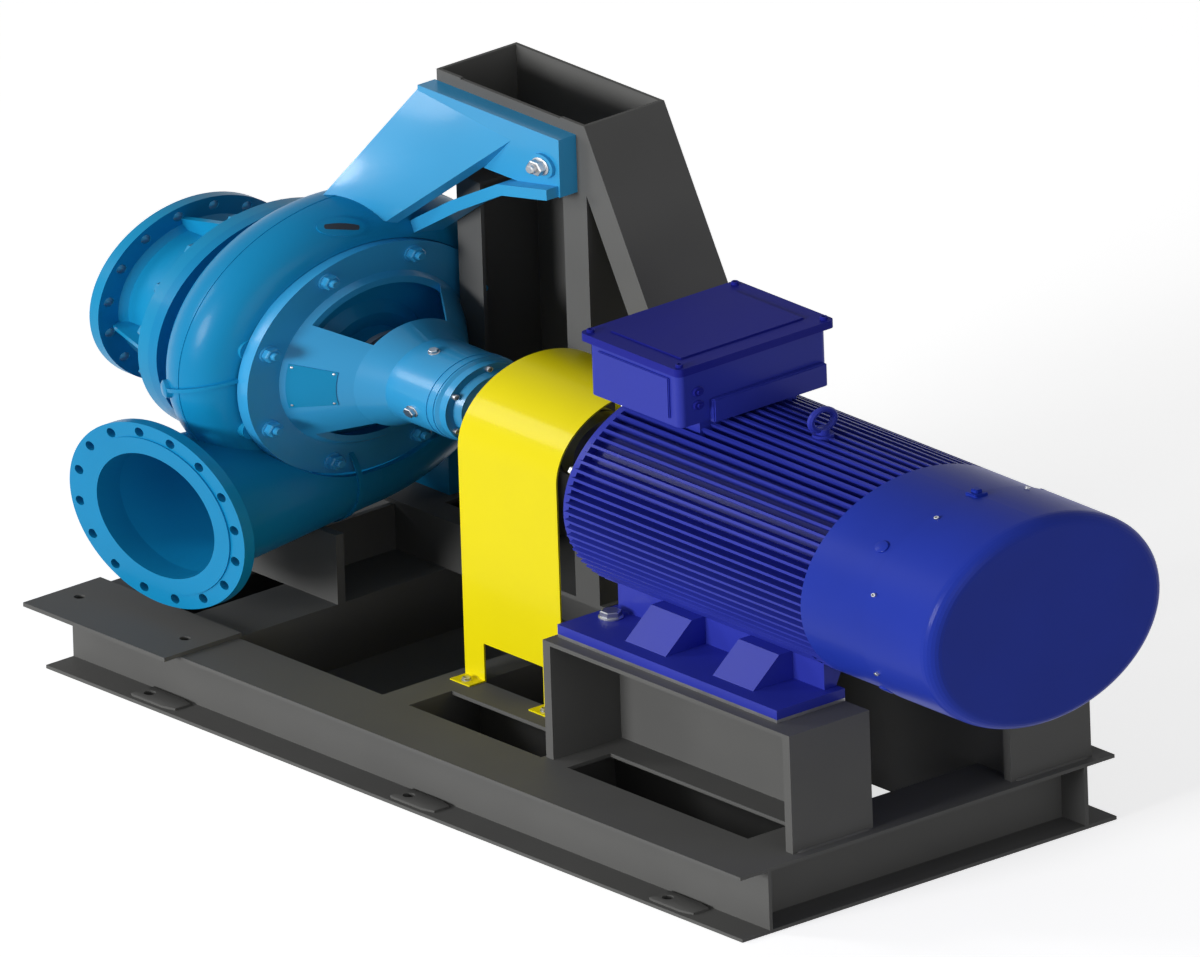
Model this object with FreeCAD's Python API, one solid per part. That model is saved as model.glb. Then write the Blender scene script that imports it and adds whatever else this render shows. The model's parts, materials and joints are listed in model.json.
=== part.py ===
"""Horizontal mixed-flow pump set on a fabricated baseframe.

Millimetres. +X runs along the shaft from the pump to the motor, +Y goes across the baseframe to the
side of the support tower, and +Z is up. The origin is at the middle of the baseframe, on the floor.
Each sub-part is one STEP file in parts/.
"""
import FreeCAD, Part

import math
import os

from FreeCAD import Vector

# Baseframe: H beams round the edge, channels inside
BASE_LENGTH = 2070.0
BASE_START_X = -1035.0
BASE_HEIGHT = 194.0
BEAM_WIDTH = 150.0
BEAM_WEB = 8.0
BEAM_FLANGE = 10.0
LONG_BEAM_Y = 409.0
CHANNEL_WIDTH = 78.0
CHANNEL_WEB = 8.0
CHANNEL_FLANGE = 11.0
CROSS_REAR_X = -788.0
CROSS_FRONT_X = -632.0
CROSS_GUARD_X = -123.0
CROSS_MOTOR_X = 270.0
RAIL_OFFSET = 204.0
FLOOR_SHEET = 6.0
ANCHOR_RADIUS = 11.0
ANCHOR_STEP = 770.0
ANCHOR_OUT = 37.0

# Drilled rest plate on the near beam, below the discharge branch
REST_LENGTH = 420.0
REST_WIDTH = 200.0
REST_THICK = 12.0
REST_X = -840.0
REST_Y = -425.0
REST_HOLE_SPAN = 314.0
REST_HOLE_RADIUS = 11.0

# Shaft line and its supports
SHAFT_Y = 60.0
PEDESTAL_HEIGHT = 351.0
PACKER_THICK = 10.0
MOTOR_CENTRE_HEIGHT = 315.0
SHAFT_Z = BASE_HEIGHT + PEDESTAL_HEIGHT + PACKER_THICK + MOTOR_CENTRE_HEIGHT
FIT = 0.2

# Motor pedestals
PEDESTAL_X = 277.0
PEDESTAL_LENGTH = 733.0
PEDESTAL_INSIDE = 179.0
PEDESTAL_WIDTH = 207.0
PEDESTAL_END_THICK = 21.0
PEDESTAL_TOP_THICK = 12.0
PEDESTAL_WEB_THICK = 12.0
PEDESTAL_WEB_OFFSET = 198.0

# Motor
MOTOR_BOLT_X = 330.0
MOTOR_BOLT_SPAN_X = 457.0
MOTOR_BOLT_SPAN_Y = 508.0
MOTOR_BOLT_RADIUS = 14.0
FOOT_X = 288.0
FOOT_LENGTH = 652.0
FOOT_INSIDE = 180.0
FOOT_OUTSIDE = 356.0
FOOT_THICK = 28.0
FOOT_PAD_FINS = (8, 14)
FOOT_RIB_MARGIN = 20.0
BUTTRESS_WIDTH = 120.0
BUTTRESS_X = (508.0, 768.0)
BUTTRESS_TOP = 110.0
BUTTRESS_REACH = 320.0
FRAME_X = 253.0
FRAME_LENGTH = 703.0
FRAME_RADIUS = 266.0
FIN_TIP_RADIUS = 300.0
FIN_COUNT = 78
FIN_THICK = 7.0
FIN_ROOT_THICK = 10.0
DRIVE_SHIELD_THICK = 28.0
DRIVE_SHIELD_RADIUS = 288.0
DRIVE_NOSE_RADIUS = 130.0
DRIVE_NOSE_LENGTH = 40.0
FAN_SHIELD_LENGTH = 181.0
FAN_SHIELD_RADIUS = 300.0
COWL_GAP = 3.0
COWL_LENGTH = 207.0
COWL_RADIUS = 305.0
COWL_EDGE = 30.0
MOTOR_SHAFT_RADIUS = 40.0
EYE_X = 688.0
EYE_RADIUS = 30.0
EYE_ROD = 8.0

# Terminal box
BOX_X = 350.0
BOX_LENGTH = 270.0
BOX_WIDTH = 380.0
BOX_BOTTOM = 310.0
BOX_HEIGHT = 160.0
BOX_CORNER = 14.0
LID_LENGTH = 296.0
LID_WIDTH = 407.0
LID_THICK = 23.0
NECK_LENGTH = 230.0
NECK_WIDTH = 250.0

# Support tower
TOWER_X = -693.0
TOWER_LENGTH = 439.0
TOWER_Y = 275.0
TOWER_DEPTH = 207.0
TOWER_TOP_Z = 1635.0
TOWER_SHEET = 8.0
TOWER_FLANGE = 71.0
TOWER_BASE_THICK = 12.0
TOWER_BASE_MARGIN = 14.0
TOWER_NOTCH = 48.0
TOWER_NOTCH_HEIGHT = 1134.0
BRACE_FOOT_X = 272.0
FACE_PLATE_DEPTH = 215.0
FACE_PLATE_DROP = 4.0

# Stool under the pump
STOOL_X = -946.0
STOOL_LENGTH = 316.0
STOOL_Y = -76.0
STOOL_SHEET = 20.0
STOOL_TOP_Z = 400.0
WEB_SHEET = 12.0
DECK_TOP_Z = 340.0
DECK_THICK = 12.0
DECK_EDGE_Y = 206.0
DECK_BACK_Y = 400.0
DECK_STEP_X = -703.0
DECK_END_X = -560.0
DECK_STEP_Y = 268.0

# Volute casing
VOLUTE_X = -788.0
VOLUTE_INSIDE = 205.0
VOLUTE_FIRST = 88.0
VOLUTE_GROWTH = 57.0
VOLUTE_POWER = 1.3
VOLUTE_START = 235.0
VOLUTE_SWEEP = 325.0
VOLUTE_SECTION_COUNT = 19
CASING_WALL = 14.0
CHAMBER_RADIUS = 200.0
COVER_SEAT_RADIUS = 240.0
COVER_SEAT_DEPTH = 40.0
SLOT_WIDTH = 90.0
BACK_FLANGE_X = -955.0
BACK_FLANGE_RADIUS = 325.0
BACK_FLANGE_THICK = 25.0
BODY_RADIUS = 270.0
FRONT_X = -690.0
FRONT_RING_RADIUS = 311.0
FRONT_RING_DEPTH = 75.0
BOSS_RADIUS = 32.0
CASING_FOOT_X = -850.0
CASING_FOOT_LENGTH = 124.0
CASING_FOOT_Y = 300.0
CASING_FOOT_DEPTH = 60.0

# Branches: flanges of nominal size 350, PN 16
FLANGE_RADIUS = 260.0
FLANGE_THICK = 26.0
FLANGE_FACE_RADIUS = 219.0
FLANGE_FACE_STEP = 4.0
FLANGE_PCD_RADIUS = 235.0
FLANGE_HOLE_RADIUS = 13.0
FLANGE_HOLE_COUNT = 16
BORE_RADIUS = 175.0
BRANCH_WALL = 19.0
BORE_LAND = 60.0
DISCHARGE_FACE_Y = -401.0
SUCTION_FACE_X = -1208.0
SUCTION_RING_RADIUS = 325.0
SUCTION_RING_THICK = 30.0
SUCTION_RIB_ANGLES = (8.0, 98.0, 188.0, 278.0)
SUCTION_RIB_THICK = 14.0

# Bearing bracket
BRACKET_RADIUS = 325.0
BRACKET_THICK = 30.0
BRACKET_FOOT_RADIUS = 243.0
BRACKET_NECK_X = -545.0
BRACKET_NECK_RADIUS = 150.0
BRACKET_END_X = -488.0
BRACKET_WALL = 18.0
BRACKET_BOLT_COUNT = 8
BRACKET_BOLT_RADIUS = 290.0
BRACKET_HOLE_RADIUS = 13.0
HOUSING_RADIUS = 117.0
HOUSING_END_X = -334.0
HOUSING_BORE = 60.0
CAP_RADIUS = 112.0
CAP_THICK = 18.0
CAP_NOSE_RADIUS = 92.0
CAP_NOSE_LENGTH = 18.0

# Rotor and coupling
PUMP_SHAFT_RADIUS = 35.0
IMPELLER_RADIUS = 192.0
IMPELLER_EYE_RADIUS = 168.0
IMPELLER_X = -745.0
IMPELLER_LENGTH = 170.0
IMPELLER_NOSE_RADIUS = 38.0
BLADE_COUNT = 5
BLADE_THICK = 8.0
BLADE_TWIST = 62.0
COUPLING_RADIUS = 95.0
COUPLING_HUB_LENGTH = 105.0
COUPLING_HUB_RADIUS = 68.0
COUPLING_PLATE = 40.0
COUPLING_GAP = 10.0

# Coupling guard
GUARD_X = -172.0
GUARD_LENGTH = 292.0
GUARD_RADIUS = 205.0
GUARD_SHEET = 4.0
GUARD_EDGE_Z = 309.0
GUARD_TAB = 58.0
GUARD_TOE = 40.0

# Arm from the casing to the tower
ARM_X = -699.0
ARM_LENGTH = 419.0
ARM_BOTTOM_Z = 1430.0
ARM_HEIGHT = 171.0
ARM_THICK = 45.0
ARM_SHEET = 32.0
ARM_PAD_RADIUS = 34.0
ARM_PAD_THICK = 8.0
ARM_UPPER_RISES = (395.0, 365.0)
ARM_LOWER_RISES = (320.0, 300.0)
ARM_LOWER_SETBACKS = (150.0, 290.0)
ARM_LOWER_DROP = 110.0

ALONG_X = Vector(1, 0, 0)
ALONG_Y = Vector(0, 1, 0)
ALONG_Z = Vector(0, 0, 1)
SHAFT = Vector(0, SHAFT_Y, SHAFT_Z)
VOLUTE_LAST = VOLUTE_FIRST + VOLUTE_GROWTH
DISCHARGE_Z = SHAFT_Z - VOLUTE_INSIDE - VOLUTE_LAST
FOOT_Z = SHAFT_Z - MOTOR_CENTRE_HEIGHT
FRAME_END_X = FRAME_X + FRAME_LENGTH
COWL_X = FRAME_END_X + FAN_SHIELD_LENGTH + COWL_GAP


def save(name, shape):
    """Write one sub-part to its own file."""
    solids = shape.Solids
    if not solids:
        raise ValueError(name + " has no solid")
    out = solids[0] if len(solids) == 1 else Part.makeCompound(solids)
    out.exportStep(os.path.join("parts", name + ".step"))
    print(f"{name:26s} solids {len(solids)}  volume {out.Volume / 1e6:8.3f} dm3  valid {out.isValid()}")


def block(x0, x1, y0, y1, z0, z1):
    """A box between two corners, given in either order."""
    low = Vector(min(x0, x1), min(y0, y1), min(z0, z1))
    return Part.makeBox(abs(x1 - x0), abs(y1 - y0), abs(z1 - z0), low)


def prism(points, direction):
    """A prism from a closed outline of points."""
    return Part.Face(Part.makePolygon(points + points[:1])).extrude(direction)


def fused(first, *others):
    """One clean solid from solids that meet."""
    return first.fuse(list(others)).removeSplitter()


def turned(profile):
    """A solid of revolution about the shaft line, from (x, radius) points."""
    points = [Vector(x, SHAFT_Y, SHAFT_Z + r) for x, r in profile]
    return Part.Face(Part.makePolygon(points + points[:1])).revolve(SHAFT, ALONG_X, 360)


def disc(x0, x1, radius):
    """A cylinder on the shaft line."""
    return Part.makeCylinder(radius, x1 - x0, Vector(x0, SHAFT_Y, SHAFT_Z), ALONG_X)


def polar(x, radius, degrees):
    """A point round the shaft line: 0 degrees is +Y and 90 degrees is up."""
    a = math.radians(degrees)
    return Vector(x, SHAFT_Y + radius * math.cos(a), SHAFT_Z + radius * math.sin(a))


def holes_round_shaft(x0, x1, pitch_radius, radius, count):
    """Holes along X, evenly round the shaft line and off the centre lines."""
    places = [polar(x0, pitch_radius, (i + 0.5) * 360 / count) for i in range(count)]
    return [Part.makeCylinder(radius, x1 - x0, place, ALONG_X) for place in places]


def beam_section(place):
    """The H beam's outline, with place turning (across, up) into a point."""
    b, h, w, t = BEAM_WIDTH / 2, BASE_HEIGHT, BEAM_WEB / 2, BEAM_FLANGE
    outline = [(-b, 0), (b, 0), (b, t), (w, t), (w, h - t), (b, h - t)]
    outline += [(b, h), (-b, h), (-b, h - t), (-w, h - t), (-w, t), (-b, t)]
    return [place(u, v) for u, v in outline]


def channel_section(place):
    """The channel's outline, from the back of its web towards its toes."""
    b, h, w, t = CHANNEL_WIDTH, BASE_HEIGHT, CHANNEL_WEB, CHANNEL_FLANGE
    outline = [(0, 0), (b, 0), (b, t), (w, t), (w, h - t), (b, h - t), (b, h), (0, h)]
    return [place(u, v) for u, v in outline]


def channel_across(back_x, out):
    """A channel between the two long beams, its toes towards out."""
    reach = LONG_BEAM_Y - BEAM_WEB / 2
    section = channel_section(lambda u, v: Vector(back_x + out * u, -reach, v))
    return prism(section, Vector(0, 2 * reach, 0))


def make_base():
    """Long beams, end beams, channels, rails, floor sheets and the rest plate."""
    base_end = BASE_START_X + BASE_LENGTH
    end_middles = (BASE_START_X + BEAM_WIDTH / 2, base_end - BEAM_WIDTH / 2)
    longs = []
    for side in (-1, 1):
        section = beam_section(lambda u, v: Vector(BASE_START_X, side * LONG_BEAM_Y + u, v))
        longs.append(prism(section, Vector(BASE_LENGTH, 0, 0)))
    for name, side, beam in (("base_beam_near", -1, longs[0]), ("base_beam_far", 1, longs[1])):
        holes = []
        for step in (-1, 0, 1):
            spot = Vector(step * ANCHOR_STEP, side * (LONG_BEAM_Y + ANCHOR_OUT), -1)
            holes.append(Part.makeCylinder(ANCHOR_RADIUS, BEAM_FLANGE + 2, spot, ALONG_Z))
        save(name, beam.cut(holes))
    reach = LONG_BEAM_Y - BEAM_WEB / 2
    ends = []
    for middle in end_middles:
        section = beam_section(lambda u, v: Vector(middle + u, -reach, v))
        ends.append(prism(section, Vector(0, 2 * reach, 0)).cut(longs))
    save("base_end_beam_pump", ends[0])
    save("base_end_beam_motor", ends[1])
    crosses = {
        "base_channel_pump_rear": channel_across(CROSS_REAR_X, 1).cut(longs),
        "base_channel_pump_front": channel_across(CROSS_FRONT_X, -1).cut(longs),
        "base_channel_guard": channel_across(CROSS_GUARD_X, -1).cut(longs),
        "base_channel_motor": channel_across(CROSS_MOTOR_X, 1).cut(longs),
    }
    for name, cross in crosses.items():
        save(name, cross)
    carried = longs + ends + list(crosses.values())
    for name, side in (("base_rail_near", -1), ("base_rail_far", 1)):
        back = SHAFT_Y + side * RAIL_OFFSET
        section = channel_section(lambda u, v: Vector(CROSS_GUARD_X, back + side * u, v))
        rail = prism(section, Vector(end_middles[1] - BEAM_WEB / 2 - CROSS_GUARD_X, 0, 0))
        save(name, rail.cut(carried))
    edge = LONG_BEAM_Y - BEAM_WIDTH / 2
    bays = [
        (BASE_START_X + BEAM_WIDTH, CROSS_REAR_X),
        (CROSS_FRONT_X, CROSS_GUARD_X - CHANNEL_WIDTH),
        (CROSS_GUARD_X, CROSS_MOTOR_X),
    ]
    inner = RAIL_OFFSET
    sheets = [block(x0, x1, -edge, edge, 0, FLOOR_SHEET) for x0, x1 in bays[:2]]
    sheets.append(block(*bays[2], SHAFT_Y - inner, SHAFT_Y + inner, 0, FLOOR_SHEET))
    save("base_floor_sheets", Part.makeCompound(sheets))
    plate = block(
        REST_X - REST_LENGTH / 2, REST_X + REST_LENGTH / 2,
        REST_Y - REST_WIDTH / 2, REST_Y + REST_WIDTH / 2,
        BASE_HEIGHT, BASE_HEIGHT + REST_THICK,
    )
    holes = []
    for side in (-1, 1):
        spot = Vector(REST_X + side * REST_HOLE_SPAN / 2, REST_Y, BASE_HEIGHT - 1)
        holes.append(Part.makeCylinder(REST_HOLE_RADIUS, REST_THICK + 2, spot, ALONG_Z))
    save("pipe_rest_plate", plate.cut(holes))


def motor_bolt_holes(side, z, height):
    """The two foot-bolt holes on one side of the motor."""
    y = SHAFT_Y + side * MOTOR_BOLT_SPAN_Y / 2
    places = [Vector(MOTOR_BOLT_X + i * MOTOR_BOLT_SPAN_X, y, z) for i in (0, 1)]
    return [Part.makeCylinder(MOTOR_BOLT_RADIUS, height, place, ALONG_Z) for place in places]


def make_pedestals():
    """The two fabricated stools under the motor's feet, with their packers."""
    z0, z1 = BASE_HEIGHT, BASE_HEIGHT + PEDESTAL_HEIGHT
    under = z1 - PEDESTAL_TOP_THICK
    x0, x1 = PEDESTAL_X, PEDESTAL_X + PEDESTAL_LENGTH
    t = PEDESTAL_END_THICK
    packers = []
    for side, place in ((-1, "near"), (1, "far")):
        inside = SHAFT_Y + side * PEDESTAL_INSIDE
        outside = inside + side * PEDESTAL_WIDTH
        web = SHAFT_Y + side * PEDESTAL_WEB_OFFSET
        stool = fused(
            block(x0, x1, inside, outside, under, z1),
            block(x0, x0 + t, inside, outside, z0, under),
            block(x1 - t, x1, inside, outside, z0, under),
            block(x0 + t, x1 - t, web, web + side * PEDESTAL_WEB_THICK, z0, under),
        )
        save("motor_pedestal_" + place, stool.cut(motor_bolt_holes(side, under - 1, PEDESTAL_TOP_THICK + 2)))
        foot_in = SHAFT_Y + side * FOOT_INSIDE
        foot_out = SHAFT_Y + side * FOOT_OUTSIDE
        packer = block(FOOT_X, FOOT_X + FOOT_LENGTH, foot_in, foot_out, z1, z1 + PACKER_THICK)
        packers.append(packer.cut(motor_bolt_holes(side, z1 - 1, PACKER_THICK + 2)))
    save("motor_packers", Part.makeCompound(packers))


def volute_radius(turn):
    """The section's radius after a turn in degrees from the cutwater."""
    return VOLUTE_FIRST + VOLUTE_GROWTH * (turn / VOLUTE_SWEEP) ** VOLUTE_POWER


def spiral(shrink, first=0.0, last=VOLUTE_SWEEP, sections=VOLUTE_SECTION_COUNT):
    """The volute's spiral between two turns, with its section radius shrunk."""
    wires = []
    for i in range(sections):
        turn = first + (last - first) * i / (sections - 1)
        radius = volute_radius(turn)
        angle = VOLUTE_START - turn
        a = math.radians(angle)
        centre = polar(VOLUTE_X, VOLUTE_INSIDE + radius, angle)
        circle = Part.makeCircle(radius - shrink, centre, Vector(0, -math.sin(a), math.cos(a)))
        wires.append(Part.Wire(circle))
    return Part.makeLoft(wires, True, False)


def discharge_cone(shrink):
    """The discharge branch from the throat to its flange, with its radius shrunk."""
    length = SHAFT_Y - DISCHARGE_FACE_Y - FLANGE_THICK - FLANGE_FACE_STEP
    throat = Vector(VOLUTE_X, SHAFT_Y, DISCHARGE_Z)
    mouth = BORE_RADIUS + BRANCH_WALL
    return Part.makeCone(VOLUTE_LAST - shrink, mouth - shrink, length, throat, Vector(0, -1, 0))


def largest(shape):
    """The largest solid that a cut leaves."""
    return sorted(shape.Solids, key=lambda s: s.Volume)[-1]


def make_volute():
    """The spiral casing with its rings and bosses, its foot, and the discharge branch with its drilled flange."""
    back_x = BACK_FLANGE_X
    face = Vector(VOLUTE_X, DISCHARGE_FACE_Y, DISCHARGE_Z)
    body = spiral(0.0).fuse(
        [
            disc(back_x, back_x + BACK_FLANGE_THICK, BACK_FLANGE_RADIUS),
            disc(back_x, FRONT_X, BODY_RADIUS),
            disc(FRONT_X - FRONT_RING_DEPTH, FRONT_X, FRONT_RING_RADIUS),
        ]
    )
    branch = discharge_cone(0.0).fuse(
        [
            Part.makeCylinder(FLANGE_FACE_RADIUS, FLANGE_FACE_STEP, face, ALONG_Y),
            Part.makeCylinder(FLANGE_RADIUS, FLANGE_THICK, face + Vector(0, FLANGE_FACE_STEP, 0), ALONG_Y),
        ]
    )
    foot = block(
        CASING_FOOT_X, CASING_FOOT_X + CASING_FOOT_LENGTH,
        CASING_FOOT_Y, CASING_FOOT_Y + CASING_FOOT_DEPTH,
        DECK_TOP_Z, SHAFT_Z - VOLUTE_INSIDE,
    )
    bosses = holes_round_shaft(
        FRONT_X - FRONT_RING_DEPTH, FRONT_X, BRACKET_BOLT_RADIUS, BOSS_RADIUS, BRACKET_BOLT_COUNT
    )
    save("casing_foot", largest(foot.cut([body, branch])))
    body = body.fuse(bosses)
    branch = branch.cut(body)
    room = disc(FRONT_X, FRONT_X + 2 * BRACKET_THICK, BRACKET_RADIUS + 2)
    half = SLOT_WIDTH / 2
    start = SHAFT_Y - DISCHARGE_FACE_Y - BORE_LAND
    bore = Part.makeCone(
        VOLUTE_LAST - CASING_WALL, BORE_RADIUS, start, Vector(VOLUTE_X, SHAFT_Y, DISCHARGE_Z), Vector(0, -1, 0)
    )
    mouth = Part.makeCylinder(BORE_RADIUS, BORE_LAND + 1, face - Vector(0, 1, 0), ALONG_Y)
    holes = []
    for i in range(FLANGE_HOLE_COUNT):
        a = math.radians((i + 0.5) * 360 / FLANGE_HOLE_COUNT)
        out = Vector(FLANGE_PCD_RADIUS * math.cos(a), -1, FLANGE_PCD_RADIUS * math.sin(a))
        holes.append(Part.makeCylinder(FLANGE_HOLE_RADIUS, FLANGE_THICK + FLANGE_FACE_STEP + 2, face + out, ALONG_Y))
    inside = [
        room,
        spiral(CASING_WALL),
        bore,
        mouth,
        disc(back_x - 1, FRONT_X - COVER_SEAT_DEPTH, CHAMBER_RADIUS),
        disc(FRONT_X - COVER_SEAT_DEPTH - 1, FRONT_X + 1, COVER_SEAT_RADIUS),
        disc(VOLUTE_X - half, VOLUTE_X + half, VOLUTE_INSIDE + volute_radius(0.0)),
    ]
    save("volute_casing", largest(body.cut(inside)))
    save("discharge_branch", largest(branch.cut(inside + holes)))


def make_suction():
    """The suction cover with its branch, ribs and drilled flange."""
    face = SUCTION_FACE_X
    step = face + FLANGE_FACE_STEP
    back = step + FLANGE_THICK
    ring = BACK_FLANGE_X - SUCTION_RING_THICK
    neck = BORE_RADIUS + BRANCH_WALL
    cover = turned(
        [
            (face, BORE_RADIUS),
            (face, FLANGE_FACE_RADIUS),
            (step, FLANGE_FACE_RADIUS),
            (step, FLANGE_RADIUS),
            (back, FLANGE_RADIUS),
            (back, neck + 14),
            (back + 14, neck),
            (ring - 30, neck),
            (ring, neck + 34),
            (ring, SUCTION_RING_RADIUS),
            (BACK_FLANGE_X, SUCTION_RING_RADIUS),
            (BACK_FLANGE_X, BORE_RADIUS),
        ]
    )
    ribs = []
    for degrees in SUCTION_RIB_ANGLES:
        low = SHAFT_Z - SUCTION_RIB_THICK / 2
        outline = [
            Vector(back - 1, SHAFT_Y + neck - 5, low),
            Vector(back - 1, SHAFT_Y + neck + 30, low),
            Vector(ring + 1, SHAFT_Y + SUCTION_RING_RADIUS - 45, low),
            Vector(ring + 1, SHAFT_Y + neck - 5, low),
        ]
        rib = prism(outline, Vector(0, 0, SUCTION_RIB_THICK))
        rib.rotate(SHAFT, ALONG_X, degrees)
        ribs.append(rib)
    holes = holes_round_shaft(face - 1, back + 1, FLANGE_PCD_RADIUS, FLANGE_HOLE_RADIUS, FLANGE_HOLE_COUNT)
    save("suction_cover", cover.fuse(ribs).cut(holes))


def make_bearing_bracket():
    """The open bracket between casing and bearing housing, with the casing cover and seal behind it."""
    start = FRONT_X
    face = start + BRACKET_THICK
    t = BRACKET_WALL
    bracket = turned(
        [
            (start, BRACKET_FOOT_RADIUS - t),
            (start, BRACKET_RADIUS),
            (face, BRACKET_RADIUS),
            (face, BRACKET_FOOT_RADIUS),
            (BRACKET_NECK_X, BRACKET_NECK_RADIUS),
            (BRACKET_END_X, HOUSING_RADIUS),
            (BRACKET_END_X, HOUSING_BORE),
            (BRACKET_END_X - t, HOUSING_BORE),
            (BRACKET_NECK_X, BRACKET_NECK_RADIUS - t),
            (face, BRACKET_FOOT_RADIUS - t),
        ]
    )
    windows = []
    for degrees in (0, 180):
        outline = [
            Vector(face + 14, SHAFT_Y - 165, SHAFT_Z),
            Vector(BRACKET_NECK_X, SHAFT_Y - 95, SHAFT_Z),
            Vector(BRACKET_NECK_X, SHAFT_Y + 95, SHAFT_Z),
            Vector(face + 14, SHAFT_Y + 165, SHAFT_Z),
        ]
        window = prism(outline, Vector(0, 0, BRACKET_RADIUS))
        window.rotate(SHAFT, ALONG_X, degrees)
        windows.append(window)
    holes = holes_round_shaft(start - 1, face + 1, BRACKET_BOLT_RADIUS, BRACKET_HOLE_RADIUS, BRACKET_BOLT_COUNT)
    save("bearing_bracket", bracket.cut(windows + holes))
    seat = COVER_SEAT_RADIUS - FIT
    hub = PUMP_SHAFT_RADIUS + 30
    cover = turned(
        [
            (start - COVER_SEAT_DEPTH, PUMP_SHAFT_RADIUS + FIT),
            (start - COVER_SEAT_DEPTH, seat),
            (start, seat),
            (start, 150),
            (start + 20, 120),
            (start + 20, hub + 20),
            (start + 62, hub + 12),
            (start + 62, PUMP_SHAFT_RADIUS + FIT),
        ]
    )
    save("casing_cover", cover)
    gland = turned(
        [
            (start + 62, PUMP_SHAFT_RADIUS + FIT),
            (start + 62, hub + 22),
            (start + 76, hub + 22),
            (start + 76, hub - 10),
            (start + 90, hub - 10),
            (start + 90, PUMP_SHAFT_RADIUS + FIT),
        ]
    )
    save("seal_gland", gland)
    save(
        "bearing_housing",
        turned(
            [
                (BRACKET_END_X, HOUSING_BORE),
                (BRACKET_END_X, HOUSING_RADIUS),
                (HOUSING_END_X - 8, HOUSING_RADIUS),
                (HOUSING_END_X, HOUSING_RADIUS - 6),
                (HOUSING_END_X, HOUSING_BORE),
            ]
        ),
    )
    nose = HOUSING_END_X + CAP_THICK
    save(
        "bearing_cap",
        turned(
            [
                (HOUSING_END_X, PUMP_SHAFT_RADIUS + FIT),
                (HOUSING_END_X, CAP_RADIUS),
                (nose, CAP_RADIUS),
                (nose, CAP_NOSE_RADIUS),
                (nose + CAP_NOSE_LENGTH, CAP_NOSE_RADIUS - 6),
                (nose + CAP_NOSE_LENGTH, PUMP_SHAFT_RADIUS + FIT),
            ]
        ),
    )
    races = []
    for x in (BRACKET_END_X + 10, HOUSING_END_X - 50):
        races.append(disc(x, x + 40, HOUSING_BORE - FIT).cut(disc(x - 1, x + 41, PUMP_SHAFT_RADIUS + FIT)))
    save("shaft_bearings", Part.makeCompound(races))


def make_rotor():
    """The pump shaft and the mixed-flow impeller with its swept blades."""
    end = -COUPLING_GAP / 2
    nose = IMPELLER_X - IMPELLER_LENGTH
    save("pump_shaft", disc(nose + 70, end, PUMP_SHAFT_RADIUS))
    hub = turned(
        [
            (nose, 0),
            (nose, IMPELLER_NOSE_RADIUS - 10),
            (nose + 10, IMPELLER_NOSE_RADIUS),
            (nose + 60, 62),
            (nose + 110, 104),
            (IMPELLER_X - 22, 160),
            (IMPELLER_X - 6, IMPELLER_RADIUS - 6),
            (IMPELLER_X, IMPELLER_RADIUS - 6),
            (IMPELLER_X, PUMP_SHAFT_RADIUS + FIT),
            (nose + 70 - FIT, PUMP_SHAFT_RADIUS + FIT),
            (nose + 70 - FIT, 0),
        ]
    )
    blades = []
    stations = 5
    for i in range(BLADE_COUNT):
        wires = []
        for j in range(stations):
            share = j / (stations - 1)
            a = math.radians(i * 360 / BLADE_COUNT - share * BLADE_TWIST)
            root_x = nose + 22 + share * (IMPELLER_LENGTH - 32)
            root_r = 34 + share * 146
            tip_x = nose + 6 + share * (IMPELLER_LENGTH - 90)
            tip_r = IMPELLER_EYE_RADIUS + share * (IMPELLER_RADIUS - IMPELLER_EYE_RADIUS)
            radial = Vector(0, math.cos(a), math.sin(a))
            round_ = Vector(0.6, -math.sin(a), math.cos(a)).normalize() * (BLADE_THICK / 2)
            root = Vector(root_x, SHAFT_Y, SHAFT_Z) + radial * root_r
            tip = Vector(tip_x, SHAFT_Y, SHAFT_Z) + radial * tip_r
            corners = [root - round_, root + round_, tip + round_, tip - round_]
            wires.append(Part.makePolygon(corners + corners[:1]))
        blades.append(Part.makeLoft(wires, True, True))
    save("impeller", hub.fuse(blades))


def make_coupling():
    """The two coupling halves with the pins' plate between them."""
    for name, side, shaft in (("coupling_half_pump", -1, PUMP_SHAFT_RADIUS), ("coupling_half_motor", 1, MOTOR_SHAFT_RADIUS)):
        near = COUPLING_GAP / 2
        half = turned(
            [
                (side * near, shaft + FIT),
                (side * near, COUPLING_RADIUS),
                (side * (near + COUPLING_PLATE), COUPLING_RADIUS),
                (side * (near + COUPLING_PLATE), COUPLING_HUB_RADIUS),
                (side * (near + COUPLING_HUB_LENGTH), COUPLING_HUB_RADIUS),
                (side * (near + COUPLING_HUB_LENGTH), shaft + FIT),
            ]
        )
        save(name, half)
    near = COUPLING_GAP / 2
    element = disc(-near, near, COUPLING_RADIUS - 4).cut(disc(-near - 1, near + 1, MOTOR_SHAFT_RADIUS + 10))
    save("coupling_element", element)


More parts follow.
